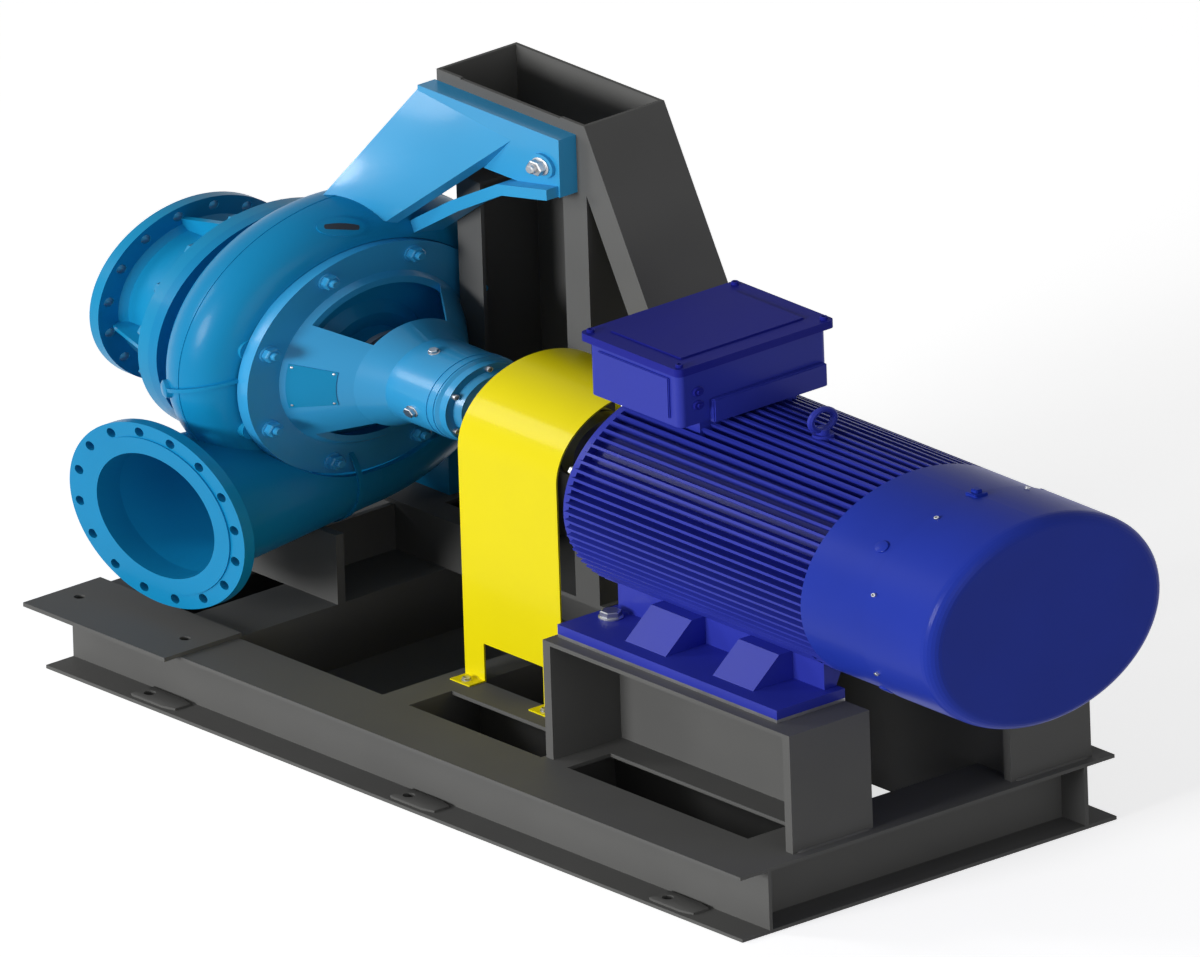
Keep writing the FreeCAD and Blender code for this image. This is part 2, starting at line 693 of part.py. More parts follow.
def make_guard():
    """The folded sheet guard over the coupling, on four out-turned feet."""
    x0, x1 = GUARD_X, GUARD_X + GUARD_LENGTH
    r = GUARD_RADIUS
    crown = disc(x0, x1, r).cut(block(x0 - 1, x1 + 1, SHAFT_Y - r - 1, SHAFT_Y + r + 1, SHAFT_Z - r - 1, SHAFT_Z))
    crown = crown.cut(disc(x0 - 1, x1 + 1, r - GUARD_SHEET))
    pieces = []
    for side in (-1, 1):
        out = SHAFT_Y + side * r
        into = out - side * GUARD_SHEET
        toe = out + side * GUARD_TOE if side < 0 else out - side * GUARD_TOE
        pieces.append(block(x0, x1, out, into, GUARD_EDGE_Z, SHAFT_Z))
        for start in (x0, x1 - GUARD_TAB):
            pieces.append(block(start, start + GUARD_TAB, out, into, BASE_HEIGHT, GUARD_EDGE_Z))
            pieces.append(block(start, start + GUARD_TAB, into, toe, BASE_HEIGHT, BASE_HEIGHT + GUARD_SHEET))
    save("coupling_guard", fused(crown, *pieces))


def finned_frame():
    """The motor frame's round section with its fins, as one extruded outline."""
    points = []
    for i in range(FIN_COUNT):
        middle = (i + 0.5) * 360 / FIN_COUNT
        root = math.degrees(FIN_ROOT_THICK / 2 / FRAME_RADIUS)
        tip = math.degrees(FIN_THICK / 2 / FIN_TIP_RADIUS)
        for radius, turn in ((FRAME_RADIUS, -root), (FIN_TIP_RADIUS, -tip), (FIN_TIP_RADIUS, tip), (FRAME_RADIUS, root)):
            points.append(polar(FRAME_X, radius, middle + turn))
    return prism(points, Vector(FRAME_LENGTH, 0, 0))


def foot_pad(side):
    """The smooth pad between two fins that a foot is carried on."""
    pitch = 360 / FIN_COUNT
    first, last = [(0.5 - count) * pitch for count in FOOT_PAD_FINS]
    reach = 2 * FIN_TIP_RADIUS
    x0 = FOOT_X + FOOT_RIB_MARGIN
    corners = [Vector(x0, SHAFT_Y, SHAFT_Z)]
    for angle in (first, (first + last) / 2, last):
        corners.append(polar(x0, reach, angle if side > 0 else 180 - angle))
    length = FOOT_LENGTH - 2 * FOOT_RIB_MARGIN
    return disc(FRAME_X, FRAME_END_X, FIN_TIP_RADIUS).common(prism(corners, Vector(length, 0, 0)))


def make_feet():
    """The motor's two feet, each a plate with a rib and two buttresses, seated on the frame's pads."""
    feet = []
    for side in (-1, 1):
        extra = []
        inside = SHAFT_Y + side * FOOT_INSIDE
        outside = SHAFT_Y + side * FOOT_OUTSIDE
        extra.append(block(FOOT_X, FOOT_X + FOOT_LENGTH, inside, outside, FOOT_Z, FOOT_Z + FOOT_THICK))
        for middle in BUTTRESS_X:
            x = middle - BUTTRESS_WIDTH / 2
            outline = [
                Vector(x, SHAFT_Y + side * BUTTRESS_REACH, FOOT_Z + FOOT_THICK / 2),
                Vector(x, SHAFT_Y + side * BUTTRESS_REACH, FOOT_Z + FOOT_THICK),
                Vector(x, SHAFT_Y + side * (BUTTRESS_REACH - 70), FOOT_Z + BUTTRESS_TOP),
                Vector(x, SHAFT_Y + side * 150, FOOT_Z + BUTTRESS_TOP),
                Vector(x, SHAFT_Y + side * 190, FOOT_Z + FOOT_THICK / 2),
            ]
            extra.append(prism(outline, Vector(BUTTRESS_WIDTH, 0, 0)))
        rib_x = FOOT_X + FOOT_RIB_MARGIN
        rib = [
            Vector(rib_x, SHAFT_Y + side * 190, FOOT_Z + FOOT_THICK / 2),
            Vector(rib_x, SHAFT_Y + side * 215, FOOT_Z + FOOT_THICK / 2),
            Vector(rib_x, SHAFT_Y + side * 215, FOOT_Z + 130),
            Vector(rib_x, SHAFT_Y + side * 150, FOOT_Z + 130),
        ]
        extra.append(prism(rib, Vector(FOOT_LENGTH - 2 * FOOT_RIB_MARGIN, 0, 0)))
        foot = fused(extra[0], *extra[1:])
        foot = foot.cut([disc(FRAME_X, FRAME_END_X, FIN_TIP_RADIUS)] + motor_bolt_holes(side, FOOT_Z - 1, FOOT_THICK + 2))
        feet.append(sorted(foot.Solids, key=lambda s: s.Volume)[-1])
    save("motor_feet", Part.makeCompound(feet))


def make_motor():
    """The motor: finned frame, end shields, fan cowl, shaft, lifting eye and terminal box."""
    frame = finned_frame().fuse([foot_pad(-1), foot_pad(1)])
    neck_y = SHAFT_Y - NECK_WIDTH / 2
    neck = block(
        BOX_X - NECK_LENGTH / 2, BOX_X + NECK_LENGTH / 2,
        neck_y, neck_y + NECK_WIDTH, SHAFT_Z + FRAME_RADIUS / 2, SHAFT_Z + BOX_BOTTOM,
    )
    neck = neck.common(block(FRAME_X, FRAME_END_X, neck_y, neck_y + NECK_WIDTH, SHAFT_Z, SHAFT_Z + BOX_BOTTOM))
    eye_foot = Vector(EYE_X, SHAFT_Y, SHAFT_Z + FRAME_RADIUS / 2)
    eye_base = Part.makeCylinder(22, FIN_TIP_RADIUS + 6 - FRAME_RADIUS / 2, eye_foot, ALONG_Z)
    save("motor_frame", frame.fuse([neck, eye_base]))
    eye_z = SHAFT_Z + FIN_TIP_RADIUS + 6
    shank = Part.makeCylinder(14, 16, Vector(EYE_X, SHAFT_Y, eye_z), ALONG_Z)
    middle = Vector(EYE_X, SHAFT_Y, eye_z + 10 + EYE_RADIUS)
    corners = []
    for i in range(8):
        a = math.radians(22.5 + 45 * i)
        corners.append(middle + Vector(EYE_ROD * math.cos(a), 0, EYE_RADIUS + EYE_ROD * math.sin(a)))
    ring = Part.Face(Part.makePolygon(corners + corners[:1]))
    loop = ring.revolve(middle, ALONG_X, 360)
    low = block(EYE_X - 60, EYE_X + 60, SHAFT_Y - 60, SHAFT_Y + 60, eye_z - 40, eye_z)
    save("motor_lifting_eye", shank.fuse(loop).cut(low))
    front = FRAME_X - DRIVE_SHIELD_THICK
    save(
        "motor_shield_drive",
        turned(
            [
                (FRAME_X, MOTOR_SHAFT_RADIUS + FIT),
                (FRAME_X, DRIVE_SHIELD_RADIUS),
                (front + 12, DRIVE_SHIELD_RADIUS),
                (front, DRIVE_SHIELD_RADIUS - 14),
                (front - 4, DRIVE_NOSE_RADIUS + 30),
                (front - DRIVE_NOSE_LENGTH + 6, DRIVE_NOSE_RADIUS),
                (front - DRIVE_NOSE_LENGTH, DRIVE_NOSE_RADIUS - 8),
                (front - DRIVE_NOSE_LENGTH, MOTOR_SHAFT_RADIUS + FIT),
            ]
        ),
    )
    save("motor_shield_fan", disc(FRAME_END_X, FRAME_END_X + FAN_SHIELD_LENGTH, FAN_SHIELD_RADIUS))
    save("motor_shaft", disc(COUPLING_GAP / 2, FRAME_X, MOTOR_SHAFT_RADIUS))
    e = COWL_EDGE
    arc = []
    for i in range(7):
        a = math.radians(i * 15)
        arc.append((COWL_X + COWL_LENGTH - e + e * math.sin(a), COWL_RADIUS - e + e * math.cos(a)))
    spigot = FAN_SHIELD_RADIUS - 8
    cowl = [(COWL_X - COWL_GAP, 0), (COWL_X - COWL_GAP, spigot), (COWL_X, spigot), (COWL_X, COWL_RADIUS)]
    cowl += arc + [(COWL_X + COWL_LENGTH, 0)]
    save("motor_fan_cowl", turned(cowl))
    box_z = SHAFT_Z + BOX_BOTTOM
    box = block(
        BOX_X - BOX_LENGTH / 2, BOX_X + BOX_LENGTH / 2,
        SHAFT_Y - BOX_WIDTH / 2, SHAFT_Y + BOX_WIDTH / 2, box_z, box_z + BOX_HEIGHT,
    )
    save("terminal_box", box.makeFillet(BOX_CORNER, [e for e in box.Edges if e.BoundBox.ZLength > 50]))
    lid_z = box_z + BOX_HEIGHT
    lid = block(
        BOX_X - LID_LENGTH / 2, BOX_X + LID_LENGTH / 2,
        SHAFT_Y - LID_WIDTH / 2, SHAFT_Y + LID_WIDTH / 2, lid_z, lid_z + LID_THICK,
    )
    save("terminal_box_lid", lid.makeFillet(BOX_CORNER, [e for e in lid.Edges if e.BoundBox.ZLength > 20]))


def make_tower():
    """The open tower of folded plate, with its sloping leg, back plate, face plate and base plates."""
    x0, x1 = TOWER_X, TOWER_X + TOWER_LENGTH
    y0, y1 = TOWER_Y, TOWER_Y + TOWER_DEPTH
    z0, z1 = BASE_HEIGHT + TOWER_BASE_THICK, TOWER_TOP_Z
    t, f = TOWER_SHEET, TOWER_FLANGE
    low_x, step_z = x0 + TOWER_NOTCH, z0 + TOWER_NOTCH_HEIGHT
    rear = fused(
        block(x0, x0 + t, y0, y1, step_z, z1),
        block(x0 + t, x0 + f, y0, y0 + t, step_z, z1),
        block(x0 + t, x0 + f, y1 - t, y1, step_z, z1),
        block(x0, low_x + f, y0, y1, step_z - t, step_z),
        block(low_x, low_x + t, y0, y1 - t, z0, step_z - t),
        block(low_x + t, low_x + f, y0, y0 + t, z0, step_z - t),
    )
    save("tower_leg_rear", rear)
    front = fused(
        block(x1 - t, x1, y0, y1, z0, z1),
        block(x1 - f, x1 - t, y0, y0 + t, z0, z1),
        block(x1 - f, x1 - t, y1 - t, y1, z0, z1),
    )
    save("tower_leg_front", front)
    back = fused(
        block(x0 + f, x1 - f, y1 - t, y1, step_z, z1),
        block(low_x + f, x1 - f, y1 - t, y1, step_z - t, step_z),
        block(low_x, x1 - f, y1 - t, y1, z0, step_z - t),
    )
    save("tower_back_plate", back)
    low = z1 - FACE_PLATE_DEPTH
    save("tower_face_plate", block(x0 + f, x1 - f, y0, y0 + t, low, z1 - FACE_PLATE_DROP))
    slope = (BRACE_FOOT_X - x1) / (z1 - z0)
    lean = math.hypot(1, slope)

    def strip(depth, near, far):
        """A plate of the sloping leg that reaches depth inwards from its outer face."""
        drop = depth * lean / slope
        outline = [
            Vector(x1, near, z1),
            Vector(BRACE_FOOT_X, near, z0),
            Vector(BRACE_FOOT_X - depth * lean, near, z0),
            Vector(x1, near, z1 - drop),
        ]
        return prism(outline, Vector(0, far - near, 0))

    brace = fused(strip(t, y0, y1), strip(f, y0, y0 + t), strip(f, y1 - t, y1))
    save("tower_leg_sloping", brace)
    plates = [
        block(low_x - TOWER_BASE_MARGIN, x1 + TOWER_BASE_MARGIN, y0, LONG_BEAM_Y + BEAM_WIDTH / 2, BASE_HEIGHT, z0),
        block(BRACE_FOOT_X - 130, BRACE_FOOT_X, y0, LONG_BEAM_Y + BEAM_WIDTH / 2, BASE_HEIGHT, z0),
    ]
    save("tower_base_plates", Part.makeCompound(plates))


def make_stool():
    """The cradle under the discharge branch, and the deck under the casing's foot."""
    x0, x1 = STOOL_X, STOOL_X + STOOL_LENGTH
    y0, y1 = STOOL_Y, STOOL_Y + STOOL_SHEET
    under = DECK_TOP_Z - DECK_THICK
    web_x = VOLUTE_X + WEB_SHEET / 2
    back_y = DECK_BACK_Y - WEB_SHEET
    stool = fused(
        block(x0, x1, y0, y1, BASE_HEIGHT, STOOL_TOP_Z),
        block(web_x - WEB_SHEET, web_x, y1, back_y, BASE_HEIGHT, under),
        block(web_x, DECK_END_X, DECK_EDGE_Y, DECK_EDGE_Y + WEB_SHEET, BASE_HEIGHT, under),
        block(x0, DECK_STEP_X, back_y, DECK_BACK_Y, BASE_HEIGHT, under),
        block(x0, DECK_STEP_X, DECK_EDGE_Y, DECK_BACK_Y, under, DECK_TOP_Z),
        block(DECK_STEP_X, DECK_END_X, DECK_EDGE_Y, DECK_STEP_Y, under, DECK_TOP_Z),
    )
    save("pump_stool", stool.cut(discharge_cone(-FIT)))


def make_arm():
    """The cast arm from the casing up to the tower's face."""
    y1 = TOWER_Y
    y0 = y1 - ARM_THICK
    x0, x1 = ARM_X, ARM_X + ARM_LENGTH
    z0, z1 = ARM_BOTTOM_Z, ARM_BOTTOM_Z + ARM_HEIGHT
    t = ARM_SHEET
    flange = block(x0, x1, y0, y1, z0, z1)

    def plank(edges):
        """A plate through pairs of points, each pair being one cross line of its top face."""
        wires = []
        for left, right, drop in edges:
            wires.append(Part.makePolygon([left, right, right + drop, left + drop, left]))
        return Part.makeLoft(wires, True, True)

    slant = Vector(0, 0.87 * t, -0.49 * t)
    root = [SHAFT_Z + rise for rise in ARM_UPPER_RISES]
    upper = plank(
        [
            (Vector(x0, y0 + 4, z1 - 8), Vector(x0 + 286, y0 + 4, z1 - 45), slant),
            (Vector(VOLUTE_X - 30, SHAFT_Y, root[0]), Vector(VOLUTE_X + 98, SHAFT_Y + 70, root[1]), slant),
        ]
    )
    reach = VOLUTE_X + 70
    near_x, far_x = [x1 - setback for setback in ARM_LOWER_SETBACKS]
    low_z = z0 - ARM_LOWER_DROP
    toe = [SHAFT_Z + rise for rise in ARM_LOWER_RISES]
    lower = plank(
        [
            (Vector(x1 - 6, y0 - 30, z0 + t), Vector(x1 - 6, y0 + 4, z0 + t), Vector(0, 0, -t)),
            (Vector(near_x, y0 - 34, z0 - 6), Vector(near_x, y0 + 6, z0 - 6), Vector(0.4 * t, 0, -0.9 * t)),
            (Vector(far_x, y0 - 36, low_z), Vector(far_x, y1 - 8, low_z), Vector(0.7 * t, 0, -0.7 * t)),
            (Vector(reach, y0 - 40, toe[0]), Vector(reach, y1 - 8, toe[1]), Vector(0.75 * t, 0, -0.66 * t)),
        ]
    )
    pad = Part.makeCylinder(ARM_PAD_RADIUS, ARM_PAD_THICK + 2, Vector(x1 - 46, y0 - ARM_PAD_THICK, z0 + 79), ALONG_Y)
    arm = flange.fuse([upper, lower, pad])
    arm = arm.cut([spiral(-FIT, 90.0, 290.0, 11), disc(VOLUTE_X - 60, FRONT_X + 2, FRONT_RING_RADIUS + 24)])
    pieces = sorted(arm.Solids, key=lambda s: s.Volume)
    save("casing_arm", pieces[-1])


def main():
    """Build every sub-part and write its file."""
    os.makedirs("parts", exist_ok=True)
    make_base()
    make_pedestals()
    make_volute()
    make_suction()
    make_bearing_bracket()
    make_rotor()
    make_coupling()
    make_guard()
    make_feet()
    make_motor()
    make_tower()
    make_stool()
    make_arm()


main()
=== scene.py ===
"""Dressed model of a horizontal mixed-flow pump set on its baseframe.

Metres, in the frame of the solids: +X runs along the shaft from the pump to the motor, +Y goes across
to the support tower, and +Z is up.
"""
from __future__ import annotations

import json
import logging
import math
from dataclasses import dataclass
from enum import Enum
from typing import Callable, Iterable, Sequence

import bmesh
import bpy
import numpy as np
from mathutils import Matrix, Vector

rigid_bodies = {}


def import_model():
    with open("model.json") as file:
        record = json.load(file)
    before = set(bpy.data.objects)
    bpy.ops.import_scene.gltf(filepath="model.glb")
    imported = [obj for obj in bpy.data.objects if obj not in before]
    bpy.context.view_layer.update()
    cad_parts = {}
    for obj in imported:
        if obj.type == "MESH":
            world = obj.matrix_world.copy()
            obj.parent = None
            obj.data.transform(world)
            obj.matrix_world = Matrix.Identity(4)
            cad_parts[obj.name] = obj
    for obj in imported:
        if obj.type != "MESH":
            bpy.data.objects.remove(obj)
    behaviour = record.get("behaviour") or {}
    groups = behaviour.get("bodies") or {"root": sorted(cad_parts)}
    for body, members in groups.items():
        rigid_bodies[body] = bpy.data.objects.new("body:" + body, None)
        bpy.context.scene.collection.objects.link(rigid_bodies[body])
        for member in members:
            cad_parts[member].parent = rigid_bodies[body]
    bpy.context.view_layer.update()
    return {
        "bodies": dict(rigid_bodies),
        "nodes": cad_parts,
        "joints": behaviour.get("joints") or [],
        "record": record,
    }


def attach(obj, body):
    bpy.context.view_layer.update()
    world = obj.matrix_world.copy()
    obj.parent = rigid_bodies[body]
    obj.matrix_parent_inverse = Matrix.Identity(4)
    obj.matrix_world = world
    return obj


LOG = logging.getLogger("pump_set")
BODY = "root"
Colour = tuple[float, float, float]
Point = tuple[float, float, float]
Pair = tuple[float, float]
Profile = Sequence[Pair]
Mesh = bmesh.types.BMesh
Build = Callable[[Mesh], None]
Seat = tuple[Vector, Vector]
Skin = Callable[[float, float], Seat]
SPECK = 1e-6


def evenly(count: int) -> list[float]:
    """Angles spread evenly round a circle, half a step from its start.

    Args:
        count: how many.

    Returns:
        The angles in degrees.
    """
    return [(i + 0.5) * 360 / count for i in range(count)]


class Facing(Enum):
    """The way the outer end of a fastener points."""

    PUMP = (-1.0, 0.0, 0.0)
    MOTOR = (1.0, 0.0, 0.0)
    NEAR = (0.0, -1.0, 0.0)
    UP = (0.0, 0.0, 1.0)


class Head(Enum):
    """The kinds of fastener head."""

    HEX = "hex"
    STUD = "stud"
    SOCKET = "socket"


class Socket:
    """A number inside a material, on which Python's operators add Math nodes."""

    def __init__(self, shader: "Shader", link: bpy.types.NodeSocket) -> None:
        """Wrap one output socket.

        Args:
            shader: the material that the socket belongs to.
            link: the output socket.
        """
        self.shader = shader
        self.link = link

    def _math(self, operation: str, *values: "Socket | float") -> "Socket":
        """One Math node.

        Args:
            operation: the Math node's operation.
            values: its inputs, in order.

        Returns:
            The node's result.
        """
        inputs = dict(enumerate(values))
        return self.shader.node("ShaderNodeMath", {"operation": operation}, inputs, "Value")

    def __add__(self, other: "Socket | float") -> "Socket":
        """Sum."""
        return self._math("ADD", self, other)

    def __sub__(self, other: "Socket | float") -> "Socket":
        """Difference."""
        return self._math("SUBTRACT", self, other)

    def __mul__(self, other: "Socket | float") -> "Socket":
        """Product."""
        return self._math("MULTIPLY", self, other)

    def most(self, other: "Socket | float") -> "Socket":
        """The larger of two."""
        return self._math("MAXIMUM", self, other)

    def least(self, other: "Socket | float") -> "Socket":
        """The smaller of two."""
        return self._math("MINIMUM", self, other)

    def above(self, edge: float, width: float) -> "Socket":
        """A soft step.

        Args:
            edge: the value where the step is half way.
            width: how far the step spreads.

        Returns:
            0 well under the edge and 1 well over it.
        """
        steep = (self - (edge - width / 2)) * (1 / width)
        return steep.most(0.0).least(1.0)


class Shader:
    """One material, built from its nodes."""

    def __init__(self, name: str) -> None:
        """Start an empty material.

        Args:
            name: the material's name.
        """
        self.material = bpy.data.materials.new(name)
        self.material.use_nodes = True
        self.tree = self.material.node_tree
        self.tree.nodes.clear()
        self.out = self.tree.nodes.new("ShaderNodeOutputMaterial")

    def node(
        self,
        kind: str,
        settings: dict[str, object],
        inputs: dict[int | str, object],
        output: int | str = 0,
    ) -> Socket:
        """Add any node.

        Args:
            kind: the node's type.
            settings: its attributes.
            inputs: values or links, by socket name or number.
            output: the output wanted.

        Returns:
            That output.
        """
        node = self.tree.nodes.new(kind)
        for key, value in settings.items():
            setattr(node, key, value)
        for key, value in inputs.items():
            if isinstance(value, Socket):
                self.tree.links.new(value.link, node.inputs[key])
            else:
                node.inputs[key].default_value = value
        return Socket(self, node.outputs[output])

    def place(self) -> Socket:
        """The point on the object."""
        return self.node("ShaderNodeTexCoord", {}, {}, "Object")

    def noise(self, scale: float, detail: float = 3.0, roughness: float = 0.55) -> Socket:
        """Smooth noise fixed to the object.

        Args:
            scale: how fine it is, per metre.
            detail: the number of octaves.
            roughness: how strong the fine octaves are.

        Returns:
            A value near 0.5.
        """
        inputs = {"Vector": self.place(), "Scale": scale, "Detail": detail, "Roughness": roughness}
        return self.node("ShaderNodeTexNoise", {}, inputs, "Fac")

    def blend(self, share: Socket, low: Colour, high: Colour) -> Socket:
        """Mix two colours.

        Args:
            share: 0 for the first and 1 for the second.
            low: the first colour.
            high: the second colour.

        Returns:
            The mixed colour.
        """
        inputs = {"Factor": share, 6: (*low, 1.0), 7: (*high, 1.0)}
        return self.node("ShaderNodeMix", {"data_type": "RGBA"}, inputs, 2)

    def bump(self, height: Socket, strength: float, distance: float) -> Socket:
        """Fine relief.

        Args:
            height: the relief's height.
            strength: its strength.
            distance: the height in metres that a value of 1 stands for.

        Returns:
            The bent normal.
        """
        inputs = {"Height": height, "Strength": strength, "Distance": distance}
        return self.node("ShaderNodeBump", {}, inputs, 0)

    def surface(self, **inputs: object) -> bpy.types.Material:
        """Close the material with one Principled shader.

        Args:
            inputs: its sockets, with underscores for spaces.

        Returns:
            The finished material.
        """
        named = {key.replace("_", " "): value for key, value in inputs.items()}
        shader = self.node("ShaderNodeBsdfPrincipled", {}, named, 0)
        self.tree.links.new(shader.link, self.out.inputs["Surface"])
        return self.material


def lighter(colour: Colour, times: float) -> Colour:
    """A colour made lighter or darker.

    Args:
        colour: the colour.
        times: the factor.

    Returns:
        The new colour.
    """
    return tuple(min(1.0, c * times) for c in colour)


@dataclass(frozen=True)
class Paint:
    """Machine enamel with a faint orange peel, cloudy gloss and a little dust."""

    name: str
    colour: Colour
    roughness: float = 0.3
    variation: float = 0.08
    coat: float = 0.4
    coat_roughness: float = 0.12
    peel: float = 0.12
    casting: float = 0.0
    gloss: float = 0.25

    def build(self) -> bpy.types.Material:
        """Make the material.

        Returns:
            The paint.
        """
        s = Shader(self.name)
        cloud = s.noise(3.0, 2.0)
        fine = s.noise(160.0, 2.0)
        grain = s.noise(55.0, 4.0, 0.7)
        dark, pale = lighter(self.colour, 1 - self.variation), lighter(self.colour, 1 + self.variation)
        colour = s.blend(cloud.above(0.5, 0.5), dark, pale)
        rough = cloud * 0.10 + grain * 0.06 + (self.roughness - 0.08)
        height = fine * (1 - self.casting) + grain * self.casting
        normal = s.bump(height, self.peel + 0.25 * self.casting, 0.0006)
        return s.surface(
            Base_Color=colour,
            Roughness=rough,
            Normal=normal,
            Specular_IOR_Level=self.gloss,
            Coat_Weight=self.coat,
            Coat_Roughness=self.coat_roughness,
        )


@dataclass(frozen=True)
class Steel:
    """Bare machined steel with fine turning marks."""

    name: str
    colour: Colour
    roughness: float = 0.32
    marks: float = 900.0

    def build(self) -> bpy.types.Material:
        """Make the material.

        Returns:
            The steel.
        """
        s = Shader(self.name)
        wave = s.node(
            "ShaderNodeTexWave",
            {"wave_type": "BANDS", "bands_direction": "X"},
            {"Vector": s.place(), "Scale": self.marks / 6.3, "Distortion": 1.5, "Detail": 1.0},
            "Fac",
        )
        cloud = s.noise(14.0, 3.0)
        colour = s.blend(cloud.above(0.5, 0.4), lighter(self.colour, 0.88), lighter(self.colour, 1.06))
        rough = cloud * 0.12 + wave * 0.05 + (self.roughness - 0.08)
        return s.surface(
            Base_Color=colour, Roughness=rough, Metallic=1.0, Normal=s.bump(wave, 0.08, 0.0003)
        )


@dataclass(frozen=True)
class Rubber:
    """Matt black rubber; also the matt near-black sheet of painted recess shade."""

    name: str
    colour: Colour = (0.02, 0.02, 0.02)

    def build(self) -> bpy.types.Material:
        """Make the material.

        Returns:
            The rubber.
        """
        s = Shader(self.name)
        grain = s.noise(240.0, 3.0)
        colour = s.blend(grain.above(0.5, 0.4), self.colour, lighter(self.colour, 1.6))
        return s.surface(Base_Color=colour, Roughness=grain * 0.1 + 0.72, Normal=s.bump(grain, 0.2, 0.0004))


@dataclass(frozen=True)
class Floor:
    """A pale floor that looks white to the camera and still takes the shadow."""

    name: str
    colour: Colour = (0.80, 0.80, 0.80)
    lift: float = 0.70

    def build(self) -> bpy.types.Material:
        """Make the material.

        Returns:
            The floor.
        """
        s = Shader(self.name)
        path = s.node("ShaderNodeLightPath", {}, {}, "Is Camera Ray")
        gloss = s.node("ShaderNodeLightPath", {}, {}, "Is Glossy Ray")
        seen = path.most(gloss)
        glow = s.node("ShaderNodeEmission", {}, {"Color": (1, 1, 1, 1), "Strength": seen * self.lift}, 0)
        matt = s.node("ShaderNodeBsdfDiffuse", {}, {"Color": (*self.colour, 1.0)}, 0)
        both = s.node("ShaderNodeAddShader", {}, {0: glow, 1: matt}, 0)
        s.tree.links.new(both.link, s.out.inputs["Surface"])
        return s.material


class Palette:
    """Every finish on the set, made once."""

    def __init__(self) -> None:
        """Build the materials."""
        finishes = [
            Paint("black_frame_paint", (0.125, 0.125, 0.122), roughness=0.55, coat=0.0, gloss=0.06),
            # The pump's three blues are lit and shaded copies of one paint: painted shade darkens the
            # casing, the bracket is a lighter lit copy, and the suction cover's blue lies between them.
            Paint(
                "shaded_blue_casing_paint", (0.006, 0.245, 0.50),
                roughness=0.34, coat=0.06, casting=0.5, gloss=0.10,
            ),
            Paint("lit_blue_bracket_paint", (0.034, 0.34, 0.66), roughness=0.32, coat=0.25, casting=0.3),
            Paint(
                "mid_shaded_blue_suction_paint", (0.008, 0.27, 0.52),
                roughness=0.32, coat=0.08, casting=0.3, gloss=0.12,
            ),
            Paint(
                "blue_motor_paint", (0.028, 0.040, 0.38),
                roughness=0.42, coat=0.05, casting=0.2, gloss=0.15,
            ),
            Paint(
                "blue_cowl_paint", (0.017, 0.040, 0.38),
                roughness=0.34, coat=0.04, coat_roughness=0.1, gloss=0.07,
            ),
            # A darker copy of the motor blue: painted shade for the lid's top faces.
            Paint("shaded_blue_lid_paint", (0.016, 0.020, 0.28), roughness=0.45, coat=0.02, gloss=0.06),
            Paint(
                "yellow_guard_paint", (0.87, 0.74, 0.005),
                roughness=0.36, variation=0.03, coat=0.12, gloss=0.10,
            ),
            Steel("bright_shaft_steel", (0.60, 0.61, 0.63), roughness=0.28),
            Steel("cast_impeller_steel", (0.50, 0.51, 0.52), roughness=0.42, marks=120.0),
            Steel("plated_bolt_steel", (0.52, 0.53, 0.55), roughness=0.34),
            Steel("packer_steel", (0.30, 0.30, 0.31), roughness=0.5),
            Steel("coupling_iron", (0.20, 0.20, 0.21), roughness=0.5),
            Rubber("black_gland_rubber"),
            # A near-black matt finish for the sheet that stands in for a recess: painted shade.
            Rubber("painted_recess_shade", (0.008, 0.012, 0.02)),
            Floor("studio_floor"),
        ]
        self.made = {finish.name: finish.build() for finish in finishes}

    def __getitem__(self, name: str) -> bpy.types.Material:
        """The material of that name."""
        return self.made[name]


